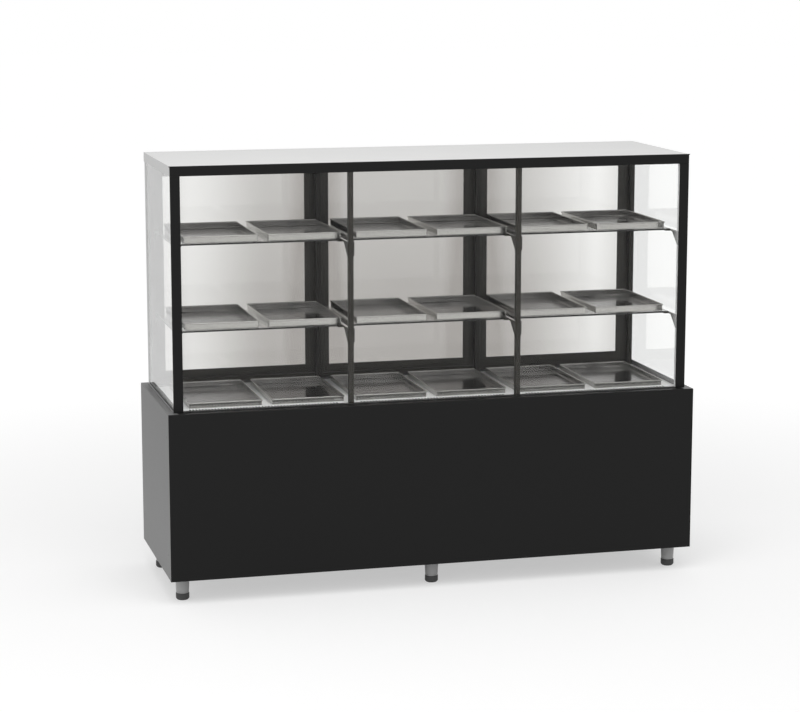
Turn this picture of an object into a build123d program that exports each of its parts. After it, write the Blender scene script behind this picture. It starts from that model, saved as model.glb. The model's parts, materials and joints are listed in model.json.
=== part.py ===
# Pastry display case: a glass case with two shelves of trays on a closed storage base.
# Millimetres. The front faces -Y, +X is to the right seen from the front, +Z is up,
# and the origin is on the floor under the middle of the footprint.
from build123d import *
import os
from math import sin, cos, radians

os.makedirs("parts", exist_ok=True)

# Overall size
width = 1900.0
depth = 620.0
foot_height = 85.0
base_height = 585.0
case_height = 840.0

# How far the glass case stands in from the base
case_inset_front = 29.0
case_inset_side = 23.0
case_inset_rear = 20.0

# Sheet and clearances
base_sheet = 1.5
deck_sheet = 1.5
cover_sheet = 1.5
running_gap = 0.5
seat_gap = 0.3

# Feet
foot_edge_x = 53.0
foot_edge_front = 87.0
foot_edge_rear = 90.0
sleeve_top_radius = 25.0
sleeve_foot_radius = 22.0
tip_radius = 23.5
tip_ground_radius = 19.5
tip_height = 24.0
tip_chamfer_height = 5.0
stem_radius = 12.0
stem_length = 46.0
bore_spare = 4.0
stud_radius = 5.0
stud_spare = 4.0
nut_height = 8.0
nut_radius = 9.8
beam_width = 62.0
beam_height = 25.0
beam_wall = 2.0
beam_overhang = 25.0
beam_shift = 8.0

# Base panels
base_flange = 20.0
screw_flange = 62.0
screw_inset_y = 45.0
screw_inset_z = 86.0
screw_head_radius = 4.0
screw_shank_radius = 2.0
screw_length = 12.0
screw_gap = 0.2
stile_width = 41.5
stile_depth = 24.0
control_width = 91.5
rear_rail_depth = 82.0
rear_rail_drop = 30.0
rear_rail_lip = 26.0
support_flange = 20.0
support_rear_gap = 6.0

# Sliding storage doors
storage_track_inset = 2.0
storage_track_pitch = 12.0
storage_fin = 3.0
storage_groove_depth = 8.0
storage_lift = 4.0
storage_track_floor = 4.0
storage_track_head = 6.0
storage_door_thickness = 8.0
storage_door_sheet = 1.2
storage_door_overlap = 30.0
finger_slot_width = 26.0
finger_slot_height = 96.0
finger_slot_edge = 46.0

# Controls at the back of the base
control_recess = 5.0
snap_gap = 0.2
switch_height = 515.0
switch_cut_width = 20.0
switch_cut_height = 27.0
switch_flange = 3.0
switch_flange_thickness = 1.5
switch_body_depth = 18.0
switch_wall = 2.0
rocker_width = 14.0
rocker_length = 21.0
rocker_crown = 5.5
rocker_dish = 1.6
rocker_heel = 4.0
rocker_edge = 1.0
rocker_end_gap = 1.0
rocker_pivot_depth = 3.0
rocker_travel = 16.0
inlet_below_switch = 70.0
inlet_cut_width = 28.0
inlet_cut_height = 21.0
inlet_flange = 6.0
inlet_body_depth = 24.0
inlet_well_depth = 17.0
inlet_wall = 2.0
pin_width = 4.0
pin_thickness = 2.0
pin_spacing = 7.0
pin_recess = 3.0
earth_pin_rise = 4.0
driver_box_width = 74.0
driver_box_depth = 60.0
driver_box_height = 170.0
driver_box_top = 560.0
driver_box_rear_gap = 30.0
driver_box_corner = 3.0

# Deck and its slotted vent strips
deck_drop = 3.0
deck_front_lap = 8.0
deck_side_lap = 14.0
grille_sheet = 1.5
grille_depth = 48.0
grille_setback = 2.0
grille_end_gap = 2.0
vent_slot_width = 5.5
vent_slot_length = 38.0
vent_pitch = 11.0
vent_rim = 8.0
vent_end_margin = 22.0

# Glass and the frame round it
frame_band = 34.0
trim_thickness = 4.0
header_lip = 3.0
front_pane = 6.0
side_pane = 6.0
gasket_height = 2.0
pane_top_gap = 10.0
pane_edge_inset = 2.0
pane_corner = 3.0
pane_bed = 0.5
glass_bed = 1.0
channel_width = 12.0
channel_floor = 4.0
channel_outer_lip = 7.0
channel_inner_lip = 14.0
channel_wall = 1.5
upright_width = 18.0
upright_depth = 20.0
upright_wall = 1.8
slot_pitch = 50.0
slot_height = 14.0
slot_depth = 5.0
upright_track_gap = 2.5

# Shelves and the angle brackets that carry them
shelf_glass = 6.0
lower_shelf_slot = 4
upper_shelf_slot = 10
shelf_height_offset = 19.0
shelf_front = 120.0
shelf_side_gap = 0.5
shelf_rear_gap = 2.0
bracket_web = 3.0
bracket_flange = 17.0
bracket_flange_thickness = 2.0
bracket_sink = 1.0
bracket_stop = 6.0
bracket_stop_thickness = 3.5
hook_drop = 42.0
hook_reach = 38.0
hook_tip = 9.0
hook_inset = 1.0
lug_depth = 1.2
lug_gap = 1.0

# Trays
shelf_tray_height = 24.0
deck_tray_height = 20.5
tray_wall = 1.2
tray_rim = 3.0
tray_rim_height = 2.2
tray_corner = 4.0
tray_gap = 30.0
tray_side_gap = 13.0
tray_rear_gap = 8.0
shelf_tray_front = 130.0
deck_tray_front = 104.0
upper_tray_shifts = (14.0, 12.0, 0.0)
middle_tray_shifts = (14.0, 12.0, 0.0)
deck_tray_shifts = (17.0, 4.0, -9.0)

# Rear posts, tracks and sliding glass doors
rear_post_inset = 2.0
rear_post_width = 20.0
rear_post_wall = 2.0
door_track_pitch = 12.0
door_fin = 4.0
door_groove_depth = 10.0
door_lift = 4.0
door_clearance = 1.0
door_track_floor = 6.0
door_track_head = 20.0
door_track_drop = 58.0
door_track_wall = 3.0
door_thickness = 9.0
door_tongue = 6.0
door_stile = 46.0
door_rail = 28.0
door_overlap = 6.0
door_pane = 4.0
pane_bite = 8.0
finger_groove = 20.0
finger_groove_depth = 5.5
finger_groove_edge = 10.0

# Lamp behind the header
lamp_setback = 2.0
lamp_depth = 22.0
lamp_height = 24.0
lamp_wall = 1.5
lamp_lens = 2.0
lamp_end_gap = 12.0

# Levels and edges that follow from the sizes above
x_side = width / 2
y_front = -depth / 2
y_rear = depth / 2
base_bottom = foot_height
base_top = foot_height + base_height
case_top = base_top + case_height
case_x = x_side - case_inset_side
case_front = y_front + case_inset_front
case_rear = y_rear - case_inset_rear
header_bottom = case_top - frame_band
cover_under = case_top - cover_sheet
trim_rear = case_front + trim_thickness
glass_rear = trim_rear + front_pane
ledge_inner_y = glass_rear + glass_bed
ledge_inner_x = case_x - channel_width
deck_top = base_top - deck_drop
deck_under = deck_top - deck_sheet
floor_under = base_bottom + base_sheet
floor_top = floor_under + base_sheet
ledge_under = base_top - base_sheet
inner_x = x_side - base_sheet
inner_front = y_front + base_sheet

# Tracks and posts at the back of the case
track_rear = case_rear - cover_sheet
track_front = track_rear - 3 * door_track_pitch
post_inner_x = case_x - rear_post_inset - rear_post_width
door_track_top = base_top + door_track_floor + door_groove_depth
head_track_bottom = cover_under - door_track_drop

# Uprights, brackets and bays
upright_front = ledge_inner_y
upright_rear = upright_front + upright_depth
rear_upright_rear = track_front - upright_track_gap
rear_upright_front = rear_upright_rear - upright_depth
standard_outer = case_x - channel_width
standard_inner = standard_outer - upright_width
bracket_outer = standard_inner
web_inner = bracket_outer - bracket_web
bay_width = (2 * web_inner - 2 * (upright_width + 2 * bracket_web)) / 3
mullion_x = bay_width / 2 + bracket_web + upright_width / 2
bay_centre = bay_width + 2 * bracket_web + upright_width
slot_first = deck_top + slot_pitch
lower_shelf_top = slot_first + lower_shelf_slot * slot_pitch + shelf_height_offset
upper_shelf_top = slot_first + upper_shelf_slot * slot_pitch + shelf_height_offset
shelf_front_y = y_front + shelf_front
shelf_rear_y = rear_upright_front - shelf_rear_gap
screw_y = y_front + screw_inset_y
inlet_height = switch_height - inlet_below_switch

# Trays: two fill a bay between their gaps, and their depth follows that of the shelves
tray_width = (bay_width - tray_gap - 2 * tray_side_gap) / 2
tray_depth = shelf_rear_y - tray_rear_gap - (y_front + shelf_tray_front)


def save(piece, name):
    piece.part.label = name
    export_step(piece.part, f"parts/{name}.step")


def block(x, y, z, mode=Mode.ADD):
    # A plain block between low and high values along each axis.
    with Locations(((x[0] + x[1]) / 2, (y[0] + y[1]) / 2, (z[0] + z[1]) / 2)):
        Box(x[1] - x[0], y[1] - y[0], z[1] - z[0], mode=mode)


def span(side, near, far):
    # Low and high values of a width that lies between near and far on one side of the middle.
    return (min(side * near, side * far), max(side * near, side * far))


# Feet: tapered sleeve bolted under a beam, and a tip whose stem slides in the sleeve
foot_x = x_side - foot_edge_x
foot_front_y = y_front + foot_edge_front
foot_rear_y = y_rear - foot_edge_rear
foot_places = {
    "front_left": (-foot_x, foot_front_y),
    "front_middle": (0, foot_front_y),
    "front_right": (foot_x, foot_front_y),
    "rear_left": (-foot_x, foot_rear_y),
    "rear_middle": (0, foot_rear_y),
    "rear_right": (foot_x, foot_rear_y),
}
beam_floor_top = floor_top + beam_wall
sleeve_bottom = tip_height + seat_gap
stem_top = tip_height + stem_length
bore_radius = stem_radius + seat_gap
bore_top = stem_top + bore_spare
stud_top = beam_floor_top + nut_height + stud_spare

with BuildPart() as foot_sleeves:
    for place in foot_places.values():
        with BuildSketch(Plane(origin=(place[0], place[1], 0), x_dir=(1, 0, 0), z_dir=(0, -1, 0))):
            Polygon(
                (0, bore_top),
                (bore_radius, bore_top),
                (bore_radius, sleeve_bottom),
                (sleeve_foot_radius, sleeve_bottom),
                (sleeve_top_radius, floor_under),
                (stud_radius, floor_under),
                (stud_radius, stud_top),
                (0, stud_top),
                align=None,
            )
        revolve(axis=Axis((place[0], place[1], 0), (0, 0, 1)))
save(foot_sleeves, "foot_sleeves")

with BuildPart() as foot_nuts:
    with BuildSketch(Plane.XY.offset(beam_floor_top)):
        with Locations(*foot_places.values()):
            RegularPolygon(nut_radius, 6)
            Circle(stud_radius, mode=Mode.SUBTRACT)
    extrude(amount=nut_height)
save(foot_nuts, "foot_nuts")

for name, place in foot_places.items():
    with BuildPart() as foot_tip:
        with BuildSketch(Plane(origin=(place[0], place[1], 0), x_dir=(1, 0, 0), z_dir=(0, -1, 0))):
            Polygon(
                (0, 0),
                (tip_ground_radius, 0),
                (tip_radius, tip_chamfer_height),
                (tip_radius, tip_height),
                (stem_radius, tip_height),
                (stem_radius, stem_top),
                (0, stem_top),
                align=None,
            )
        revolve(axis=Axis((place[0], place[1], 0), (0, 0, 1)))
    save(foot_tip, f"foot_tip_{name}")

# Beams on the base floor, one over each row of feet
with BuildPart() as foot_beams:
    y_span = (foot_front_y - beam_overhang, foot_rear_y + beam_overhang)
    half_w = beam_width / 2
    inner_half = half_w - beam_wall
    beam_top = floor_top + beam_height
    for x in (-foot_x + beam_shift, 0, foot_x - beam_shift):
        block((x - half_w, x + half_w), y_span, (floor_top, beam_top))
        block((x - inner_half, x + inner_half), y_span, (beam_floor_top, beam_top), Mode.SUBTRACT)
    with Locations(*[(place[0], place[1], floor_top) for place in foot_places.values()]):
        Cylinder(stud_radius + seat_gap, 4 * beam_wall, mode=Mode.SUBTRACT)
save(foot_beams, "foot_beams")

# Base floor, lying on the inward flanges of the front and side panels
with BuildPart() as base_floor_panel:
    block((-inner_x, inner_x), (inner_front, y_rear), (floor_under, floor_top))
    lip_x = inner_x - base_flange
    block((-lip_x, lip_x), (y_rear - base_sheet, y_rear), (base_bottom, floor_under))
    with Locations(*[(place[0], place[1], floor_top) for place in foot_places.values()]):
        Cylinder(stud_radius + seat_gap, 4 * base_sheet, mode=Mode.SUBTRACT)
save(base_floor_panel, "base_floor_panel")

# Front panel of the base: face, dark ledge in front of the glass, and inward flanges
screw_levels = (base_bottom + screw_inset_z, base_top - screw_inset_z)
with BuildPart() as base_front_panel:
    block((-x_side, x_side), (y_front, inner_front), (base_bottom, ledge_under))
    block((-ledge_inner_x, ledge_inner_x), (y_front, ledge_inner_y), (ledge_under, base_top))
    block((-inner_x, inner_x), (inner_front, y_front + base_flange), (base_bottom, floor_under))
    for side in (-1, 1):
        block(
            span(side, inner_x - base_sheet, inner_x),
            (inner_front, y_front + screw_flange),
            (floor_top, ledge_under),
        )
    for level in screw_levels:
        with Locations((0, screw_y, level)):
            Cylinder(screw_shank_radius + screw_gap, 2 * width, rotation=(0, 90, 0), mode=Mode.SUBTRACT)
save(base_front_panel, "base_front_panel")

# Side panels with the ledge beside the glass
for name, side in (("left", -1), ("right", 1)):
    with BuildPart() as base_side_panel:
        block(span(side, inner_x, x_side), (inner_front, y_rear), (base_bottom, ledge_under))
        block(span(side, ledge_inner_x, x_side), (y_front, y_rear), (ledge_under, base_top))
        block(
            span(side, inner_x - base_flange, inner_x),
            (y_front + base_flange, y_rear),
            (base_bottom, floor_under),
        )
        hole_radius = screw_head_radius + screw_gap
        for level in screw_levels:
            with Locations((side * x_side, screw_y, level)):
                Cylinder(hole_radius, 4 * base_sheet, rotation=(0, 90, 0), mode=Mode.SUBTRACT)
    save(base_side_panel, f"base_side_panel_{name}")

# Countersunk screws that hold the side panels to the front panel
with BuildPart() as case_screws:
    for side in (-1, 1):
        for level in screw_levels:
            axis_plane = Plane(origin=(side * x_side, screw_y, level), z_dir=(-side, 0, 0))
            with BuildSketch(axis_plane):
                Circle(screw_head_radius)
            extrude(amount=base_sheet)
            with BuildSketch(axis_plane.offset(base_sheet)):
                Circle(screw_shank_radius)
            extrude(amount=screw_length)
save(case_screws, "case_screws")

# Panels inside the base, under the mullions, which carry the deck
support_rear = y_rear - stile_depth - support_rear_gap
rail_front = y_rear - rear_rail_depth
rail_low = base_top - rear_rail_drop
with BuildPart() as deck_supports:
    for side in (-1, 1):
        web_x = (side * mullion_x - base_sheet / 2, side * mullion_x + base_sheet / 2)
        flange_x = span(side, mullion_x - support_flange, mullion_x)
        y_span = (inner_front, support_rear)
        block(web_x, y_span, (floor_top, deck_under))
        block(web_x, (rail_front, support_rear), (rail_low, deck_under), Mode.SUBTRACT)
        block(flange_x, y_span, (floor_top, floor_top + base_sheet))
        block(flange_x, (inner_front, rail_front), (deck_under - base_sheet, deck_under))
save(deck_supports, "deck_supports")

# Rear rail that carries the door tracks and closes the back of the deck
with BuildPart() as base_rear_rail:
    block((-ledge_inner_x, ledge_inner_x), (rail_front, y_rear), (ledge_under, base_top))
    block((-inner_x, inner_x), (y_rear - base_sheet, y_rear), (rail_low, ledge_under))
    block((-inner_x, inner_x), (y_rear - rear_rail_lip, y_rear), (rail_low, rail_low + base_sheet))
    block((-inner_x, inner_x), (rail_front, rail_front + base_sheet), (rail_low, ledge_under))
save(base_rear_rail, "base_rear_rail")

# Rear corner posts of the base: a plain stile on one side, the control panel on the other
stile_front = y_rear - stile_depth
stile_inner = inner_x - stile_width
control_inner = inner_x - control_width
control_x = (inner_x + control_inner) / 2
control_face = y_rear - control_recess


def folded_stile(side, inner, face):
    # A channel open to the front, with its outer face at the given Y.
    block(span(side, inner, inner_x), (face - base_sheet, face), (floor_top, rail_low))
    block(span(side, inner, inner + base_sheet), (stile_front, face), (floor_top, rail_low))
    block(span(side, inner_x - base_sheet, inner_x), (stile_front, face), (floor_top, rail_low))


with BuildPart() as base_rear_stile:
    folded_stile(-1, stile_inner, y_rear)
save(base_rear_stile, "base_rear_stile")

with BuildPart() as control_panel:
    folded_stile(1, control_inner, control_face)
    for level, cut_width, cut_height in (
        (switch_height, switch_cut_width, switch_cut_height),
        (inlet_height, inlet_cut_width, inlet_cut_height),
    ):
        block(
            (control_x - cut_width / 2, control_x + cut_width / 2),
            (control_face - base_sheet, control_face),
            (level - cut_height / 2, level + cut_height / 2),
            Mode.SUBTRACT,
        )
save(control_panel, "control_panel")

# Rocker switch: frame snapped into the control panel, and a rocker that tips inside it
frame_half_x = switch_cut_width / 2 - snap_gap
frame_half_z = switch_cut_height / 2 - snap_gap
with BuildPart() as switch_housing:
    block(
        (control_x - frame_half_x, control_x + frame_half_x),
        (control_face - switch_body_depth, control_face),
        (switch_height - frame_half_z, switch_height + frame_half_z),
    )
    flange_x = switch_cut_width / 2 + switch_flange
    flange_z = switch_cut_height / 2 + switch_flange
    block(
        (control_x - flange_x, control_x + flange_x),
        (control_face, control_face + switch_flange_thickness),
        (switch_height - flange_z, switch_height + flange_z),
    )
    well_x = rocker_width / 2 + running_gap
    well_z = rocker_length / 2 + rocker_end_gap
    block(
        (control_x - well_x, control_x + well_x),
        (control_face - switch_body_depth + switch_wall, y_rear),
        (switch_height - well_z, switch_height + well_z),
        Mode.SUBTRACT,
    )
save(switch_housing, "switch_housing")

rocker_pivot_y = control_face - rocker_pivot_depth
rocker_tilt = rocker_travel / 2


def tilted(y, z):
    # A point of the rocker's outline, turned about the pivot by half the travel.
    angle = radians(rocker_tilt)
    return (rocker_pivot_y + y * cos(angle) - z * sin(angle), switch_height + y * sin(angle) + z * cos(angle))


half = rocker_length / 2
with BuildPart() as light_switch:
    with BuildSketch(Plane.YZ.offset(control_x - rocker_width / 2)):
        with BuildLine():
            ThreePointArc(
                tilted(rocker_crown, half), tilted(rocker_crown - rocker_dish, 0), tilted(rocker_crown, -half)
            )
            Polyline(
                tilted(rocker_crown, -half),
                tilted(-rocker_edge, -half + rocker_edge),
                tilted(-rocker_heel, 0),
                tilted(-rocker_edge, half - rocker_edge),
                tilted(rocker_crown, half),
            )
        make_face()
    extrude(amount=rocker_width)
save(light_switch, "light_switch")

# Mains inlet: a recessed socket with three pins
with BuildPart() as power_inlet:
    half_x = inlet_cut_width / 2 - snap_gap
    half_z = inlet_cut_height / 2 - snap_gap
    block(
        (control_x - half_x, control_x + half_x),
        (control_face - inlet_body_depth, control_face),
        (inlet_height - half_z, inlet_height + half_z),
    )
    block(
        (control_x - half_x - inlet_flange, control_x + half_x + inlet_flange),
        (control_face, control_face + inlet_wall),
        (inlet_height - half_z - inlet_wall, inlet_height + half_z + inlet_wall),
    )
    block(
        (control_x - half_x + inlet_wall, control_x + half_x - inlet_wall),
        (control_face - inlet_well_depth, y_rear),
        (inlet_height - half_z + inlet_wall, inlet_height + half_z - inlet_wall),
        Mode.SUBTRACT,
    )
    for offset, rise in ((-pin_spacing, -1), (0, 1), (pin_spacing, -1)):
        level = inlet_height + rise * earth_pin_rise / 2
        block(
            (control_x + offset - pin_thickness / 2, control_x + offset + pin_thickness / 2),
            (control_face - inlet_well_depth, control_face - pin_recess),
            (level - pin_width / 2, level + pin_width / 2),
        )
save(power_inlet, "power_inlet")

# Box with the lamp's driver, on the inside of the right side panel
driver_rear = stile_front - driver_box_rear_gap
with BuildPart() as electrical_box:
    block(
        (inner_x - driver_box_width, inner_x),
        (driver_rear - driver_box_depth, driver_rear),
        (driver_box_top - driver_box_height, driver_box_top),
    )
    fillet(electrical_box.edges().filter_by(Axis.Z), driver_box_corner)
save(electrical_box, "electrical_box")

# Tracks of the storage doors, two grooves each
storage_track_rear = y_rear - storage_track_inset
storage_track_front = storage_track_rear - 2 * storage_track_pitch
storage_track_x = (-stile_inner, control_inner)
storage_groove = storage_track_pitch - storage_fin
storage_grooves = [storage_track_front + storage_track_pitch * (i + 0.5) for i in range(2)]
storage_floor_z = floor_top + storage_track_floor
storage_low_z = storage_floor_z + storage_groove_depth
storage_head_z = rail_low - storage_track_head
storage_high_z = storage_head_z - storage_groove_depth - storage_lift

with BuildPart() as storage_track_bottom:
    block(storage_track_x, (storage_track_front, storage_track_rear), (floor_top, storage_low_z))
    for y in storage_grooves:
        y_span = (y - storage_groove / 2, y + storage_groove / 2)
        block(storage_track_x, y_span, (storage_floor_z, storage_low_z), Mode.SUBTRACT)
save(storage_track_bottom, "storage_track_bottom")

with BuildPart() as storage_track_top:
    block(storage_track_x, (storage_track_front, storage_track_rear), (storage_high_z, rail_low))
    for y in storage_grooves:
        y_span = (y - storage_groove / 2, y + storage_groove / 2)
        block(storage_track_x, y_span, (storage_high_z, storage_head_z), Mode.SUBTRACT)
save(storage_track_top, "storage_track_top")

# Storage doors: folded pans with a finger slot, the left one in the front groove
storage_door_width = (stile_inner + control_inner + storage_door_overlap) / 2 - seat_gap
storage_door_low = storage_floor_z + seat_gap
storage_door_high = storage_high_z + storage_groove_depth
for name, x_low, y, slot_side in (
    ("left", -stile_inner + seat_gap, storage_grooves[0], -1),
    ("right", control_inner - seat_gap - storage_door_width, storage_grooves[1], 1),
):
    x_high = x_low + storage_door_width
    half_t = storage_door_thickness / 2
    with BuildPart() as storage_door:
        block((x_low, x_high), (y - half_t, y + half_t), (storage_door_low, storage_door_high))
        block(
            (x_low + storage_door_sheet, x_high - storage_door_sheet),
            (y - half_t, y + half_t - storage_door_sheet),
            (storage_door_low + storage_door_sheet, storage_door_high - storage_door_sheet),
            Mode.SUBTRACT,
        )
        slot_x = x_low + finger_slot_edge if slot_side < 0 else x_high - finger_slot_edge
        slot_z = (storage_door_low + storage_door_high) / 2
        with BuildSketch(Plane(origin=(slot_x, y + half_t, slot_z), x_dir=(1, 0, 0), z_dir=(0, 1, 0))):
            SlotOverall(finger_slot_height, finger_slot_width, rotation=90)
        extrude(amount=-storage_door_thickness, mode=Mode.SUBTRACT)
    save(storage_door, f"storage_door_{name}")

# Deck: a shallow pan hung under the ledges, with openings below the vent strips
deck_side = ledge_inner_x + deck_side_lap
deck_front = ledge_inner_y - deck_front_lap
grille_front = upright_front + grille_setback
bays_x = [-bay_centre, 0, bay_centre]
grille_half = bay_width / 2 - grille_end_gap
with BuildPart() as deck_panel:
    block((-deck_side, deck_side), (deck_front, rail_front), (deck_under, deck_top))
    wall_z = (deck_top, ledge_under)
    for side in (-1, 1):
        block(span(side, deck_side - deck_sheet, deck_side), (deck_front, rail_front), wall_z)
    block((-deck_side, deck_side), (deck_front, deck_front + deck_sheet), wall_z)
    vent_y = grille_front + grille_depth / 2
    for x in bays_x:
        block(
            (x - grille_half + vent_rim, x + grille_half - vent_rim),
            (vent_y - vent_slot_length / 2, vent_y + vent_slot_length / 2),
            (deck_under, deck_top),
            Mode.SUBTRACT,
        )
save(deck_panel, "deck_panel")

with BuildPart() as deck_vent_grilles:
    slots = int(2 * (grille_half - vent_end_margin) / vent_pitch)
    for x in bays_x:
        with BuildSketch(Plane(origin=(x, vent_y, deck_top))):
            Rectangle(2 * grille_half, grille_depth)
            with GridLocations(vent_pitch, 0, slots, 1):
                Rectangle(vent_slot_width, vent_slot_length, mode=Mode.SUBTRACT)
        extrude(amount=grille_sheet)
save(deck_vent_grilles, "deck_vent_grilles")

# Black frame round the front glass, its gasket and the pane itself
with BuildPart() as front_header:
    block((-case_x, case_x), (case_front, trim_rear), (header_bottom, case_top))
    lip_x = case_x + header_lip
    block((-lip_x, lip_x), (case_front, trim_rear), (case_top - header_lip, case_top))
save(front_header, "front_header")

with BuildPart() as front_posts:
    for side in (-1, 1):
        block(span(side, case_x - frame_band, case_x), (case_front, trim_rear), (base_top, header_bottom))
save(front_posts, "front_posts")

pane_bottom = base_top + gasket_height
pane_top = case_top - pane_top_gap
with BuildPart() as front_glass_gasket:
    block((-case_x + frame_band, case_x - frame_band), (case_front, glass_rear), (base_top, pane_bottom))
save(front_glass_gasket, "front_glass_gasket")

with BuildPart() as front_glass:
    pane_x = case_x - pane_edge_inset
    block((-pane_x, pane_x), (trim_rear, glass_rear), (pane_bottom, pane_top))
    fillet(front_glass.edges().filter_by(Axis.Y), pane_corner)
save(front_glass, "front_glass")

# Slotted uprights: hollow posts with slots in both side walls
slot_count = int((case_top - slot_first - slot_pitch) / slot_pitch)


def slotted_upright(x, y_low, bottom):
    half_w = upright_width / 2
    y_span = (y_low, y_low + upright_depth)
    block((x - half_w, x + half_w), y_span, (bottom, cover_under))
    block(
        (x - half_w + upright_wall, x + half_w - upright_wall),
        (y_span[0] + upright_wall, y_span[1] - upright_wall),
        (base_bottom, case_top),
        Mode.SUBTRACT,
    )
    for i in range(slot_count):
        low = slot_first + i * slot_pitch
        block(
            (x - half_w, x + half_w),
            (y_low + upright_depth / 2 - slot_depth / 2, y_low + upright_depth / 2 + slot_depth / 2),
            (low, low + slot_height),
            Mode.SUBTRACT,
        )


standard_x = standard_outer - upright_width / 2
with BuildPart() as front_mullions:
    for x in (-mullion_x, mullion_x):
        slotted_upright(x, upright_front, deck_top)
save(front_mullions, "front_mullions")

with BuildPart() as corner_standards:
    for x in (-standard_x, standard_x):
        slotted_upright(x, upright_front, deck_top)
save(corner_standards, "corner_standards")

with BuildPart() as rear_uprights:
    for x in (-standard_x, -mullion_x, mullion_x, standard_x):
        slotted_upright(x, rear_upright_front, base_top)
save(rear_uprights, "rear_uprights")

# Side panes standing in U channels on the side ledges
side_pane_outer = case_x - channel_wall - pane_bed
for name, side in (("left", -1), ("right", 1)):
    with BuildPart() as side_glass:
        block(
            span(side, side_pane_outer - side_pane, side_pane_outer),
            (glass_rear, track_front),
            (base_top + channel_floor, pane_top),
        )
        fillet(side_glass.edges().filter_by(Axis.X), pane_corner)
    save(side_glass, f"side_glass_{name}")

inner_lip = side_pane_outer - side_pane - seat_gap
with BuildPart() as side_glass_channels:
    for side in (-1, 1):
        for near, far, height in (
            (case_x - channel_width, case_x, channel_floor),
            (case_x - channel_wall, case_x, channel_outer_lip),
            (inner_lip - channel_wall, inner_lip, channel_inner_lip),
        ):
            block(span(side, near, far), (glass_rear, track_front), (base_top, base_top + height))
save(side_glass_channels, "side_glass_channels")

# Top cover: a sheet with flanges down its sides and back
with BuildPart() as top_cover:
    block((-case_x, case_x), (trim_rear, case_rear), (cover_under, case_top))
    for side in (-1, 1):
        block(span(side, case_x - cover_sheet, case_x), (trim_rear, case_rear), (header_bottom, cover_under))
    block((-case_x, case_x), (track_rear, case_rear), (header_bottom, cover_under))
save(top_cover, "top_cover")

# Rear posts and the three groove tracks
with BuildPart() as rear_posts:
    for side in (-1, 1):
        x_span = span(side, post_inner_x, post_inner_x + rear_post_width)
        block(x_span, (track_front, track_rear), (base_top, cover_under))
        block(
            (x_span[0] + rear_post_wall, x_span[1] - rear_post_wall),
            (track_front + rear_post_wall, track_rear - rear_post_wall),
            (base_top, cover_under),
            Mode.SUBTRACT,
        )
save(rear_posts, "rear_posts")

door_grooves = [track_front + door_track_pitch * (i + 0.5) for i in range(3)]
door_groove = door_track_pitch - door_fin
groove_floor_z = base_top + door_track_floor
head_groove_z = head_track_bottom + door_groove_depth + door_lift

with BuildPart() as rear_track_bottom:
    block((-post_inner_x, post_inner_x), (track_front, track_rear), (base_top, door_track_top))
    for y in door_grooves:
        y_span = (y - door_groove / 2, y + door_groove / 2)
        block((-post_inner_x, post_inner_x), y_span, (groove_floor_z, door_track_top), Mode.SUBTRACT)
save(rear_track_bottom, "rear_track_bottom")

with BuildPart() as rear_track_top:
    block((-post_inner_x, post_inner_x), (track_front, track_rear), (head_track_bottom, cover_under))
    for y in door_grooves:
        y_span = (y - door_groove / 2, y + door_groove / 2)
        block((-post_inner_x, post_inner_x), y_span, (head_track_bottom, head_groove_z), Mode.SUBTRACT)
    block(
        (-post_inner_x, post_inner_x),
        (track_front + door_track_wall, track_rear - door_track_wall),
        (head_track_bottom + door_track_head, cover_under - door_track_wall),
        Mode.SUBTRACT,
    )
save(rear_track_top, "rear_track_top")

# Sliding glass doors: stiles with a finger groove, rails with a tongue, and a pane
door_width = (2 * post_inner_x + 2 * door_overlap) / 3 - seat_gap
door_low = door_track_top + door_clearance
door_high = head_track_bottom - door_clearance
glazing_low = (door_thickness - door_pane) / 2 - seat_gap
glazing_high = door_thickness - glazing_low
door_lefts = {
    "left": -post_inner_x + seat_gap,
    "middle": -door_width / 2,
    "right": post_inner_x - seat_gap - door_width,
}

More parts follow.
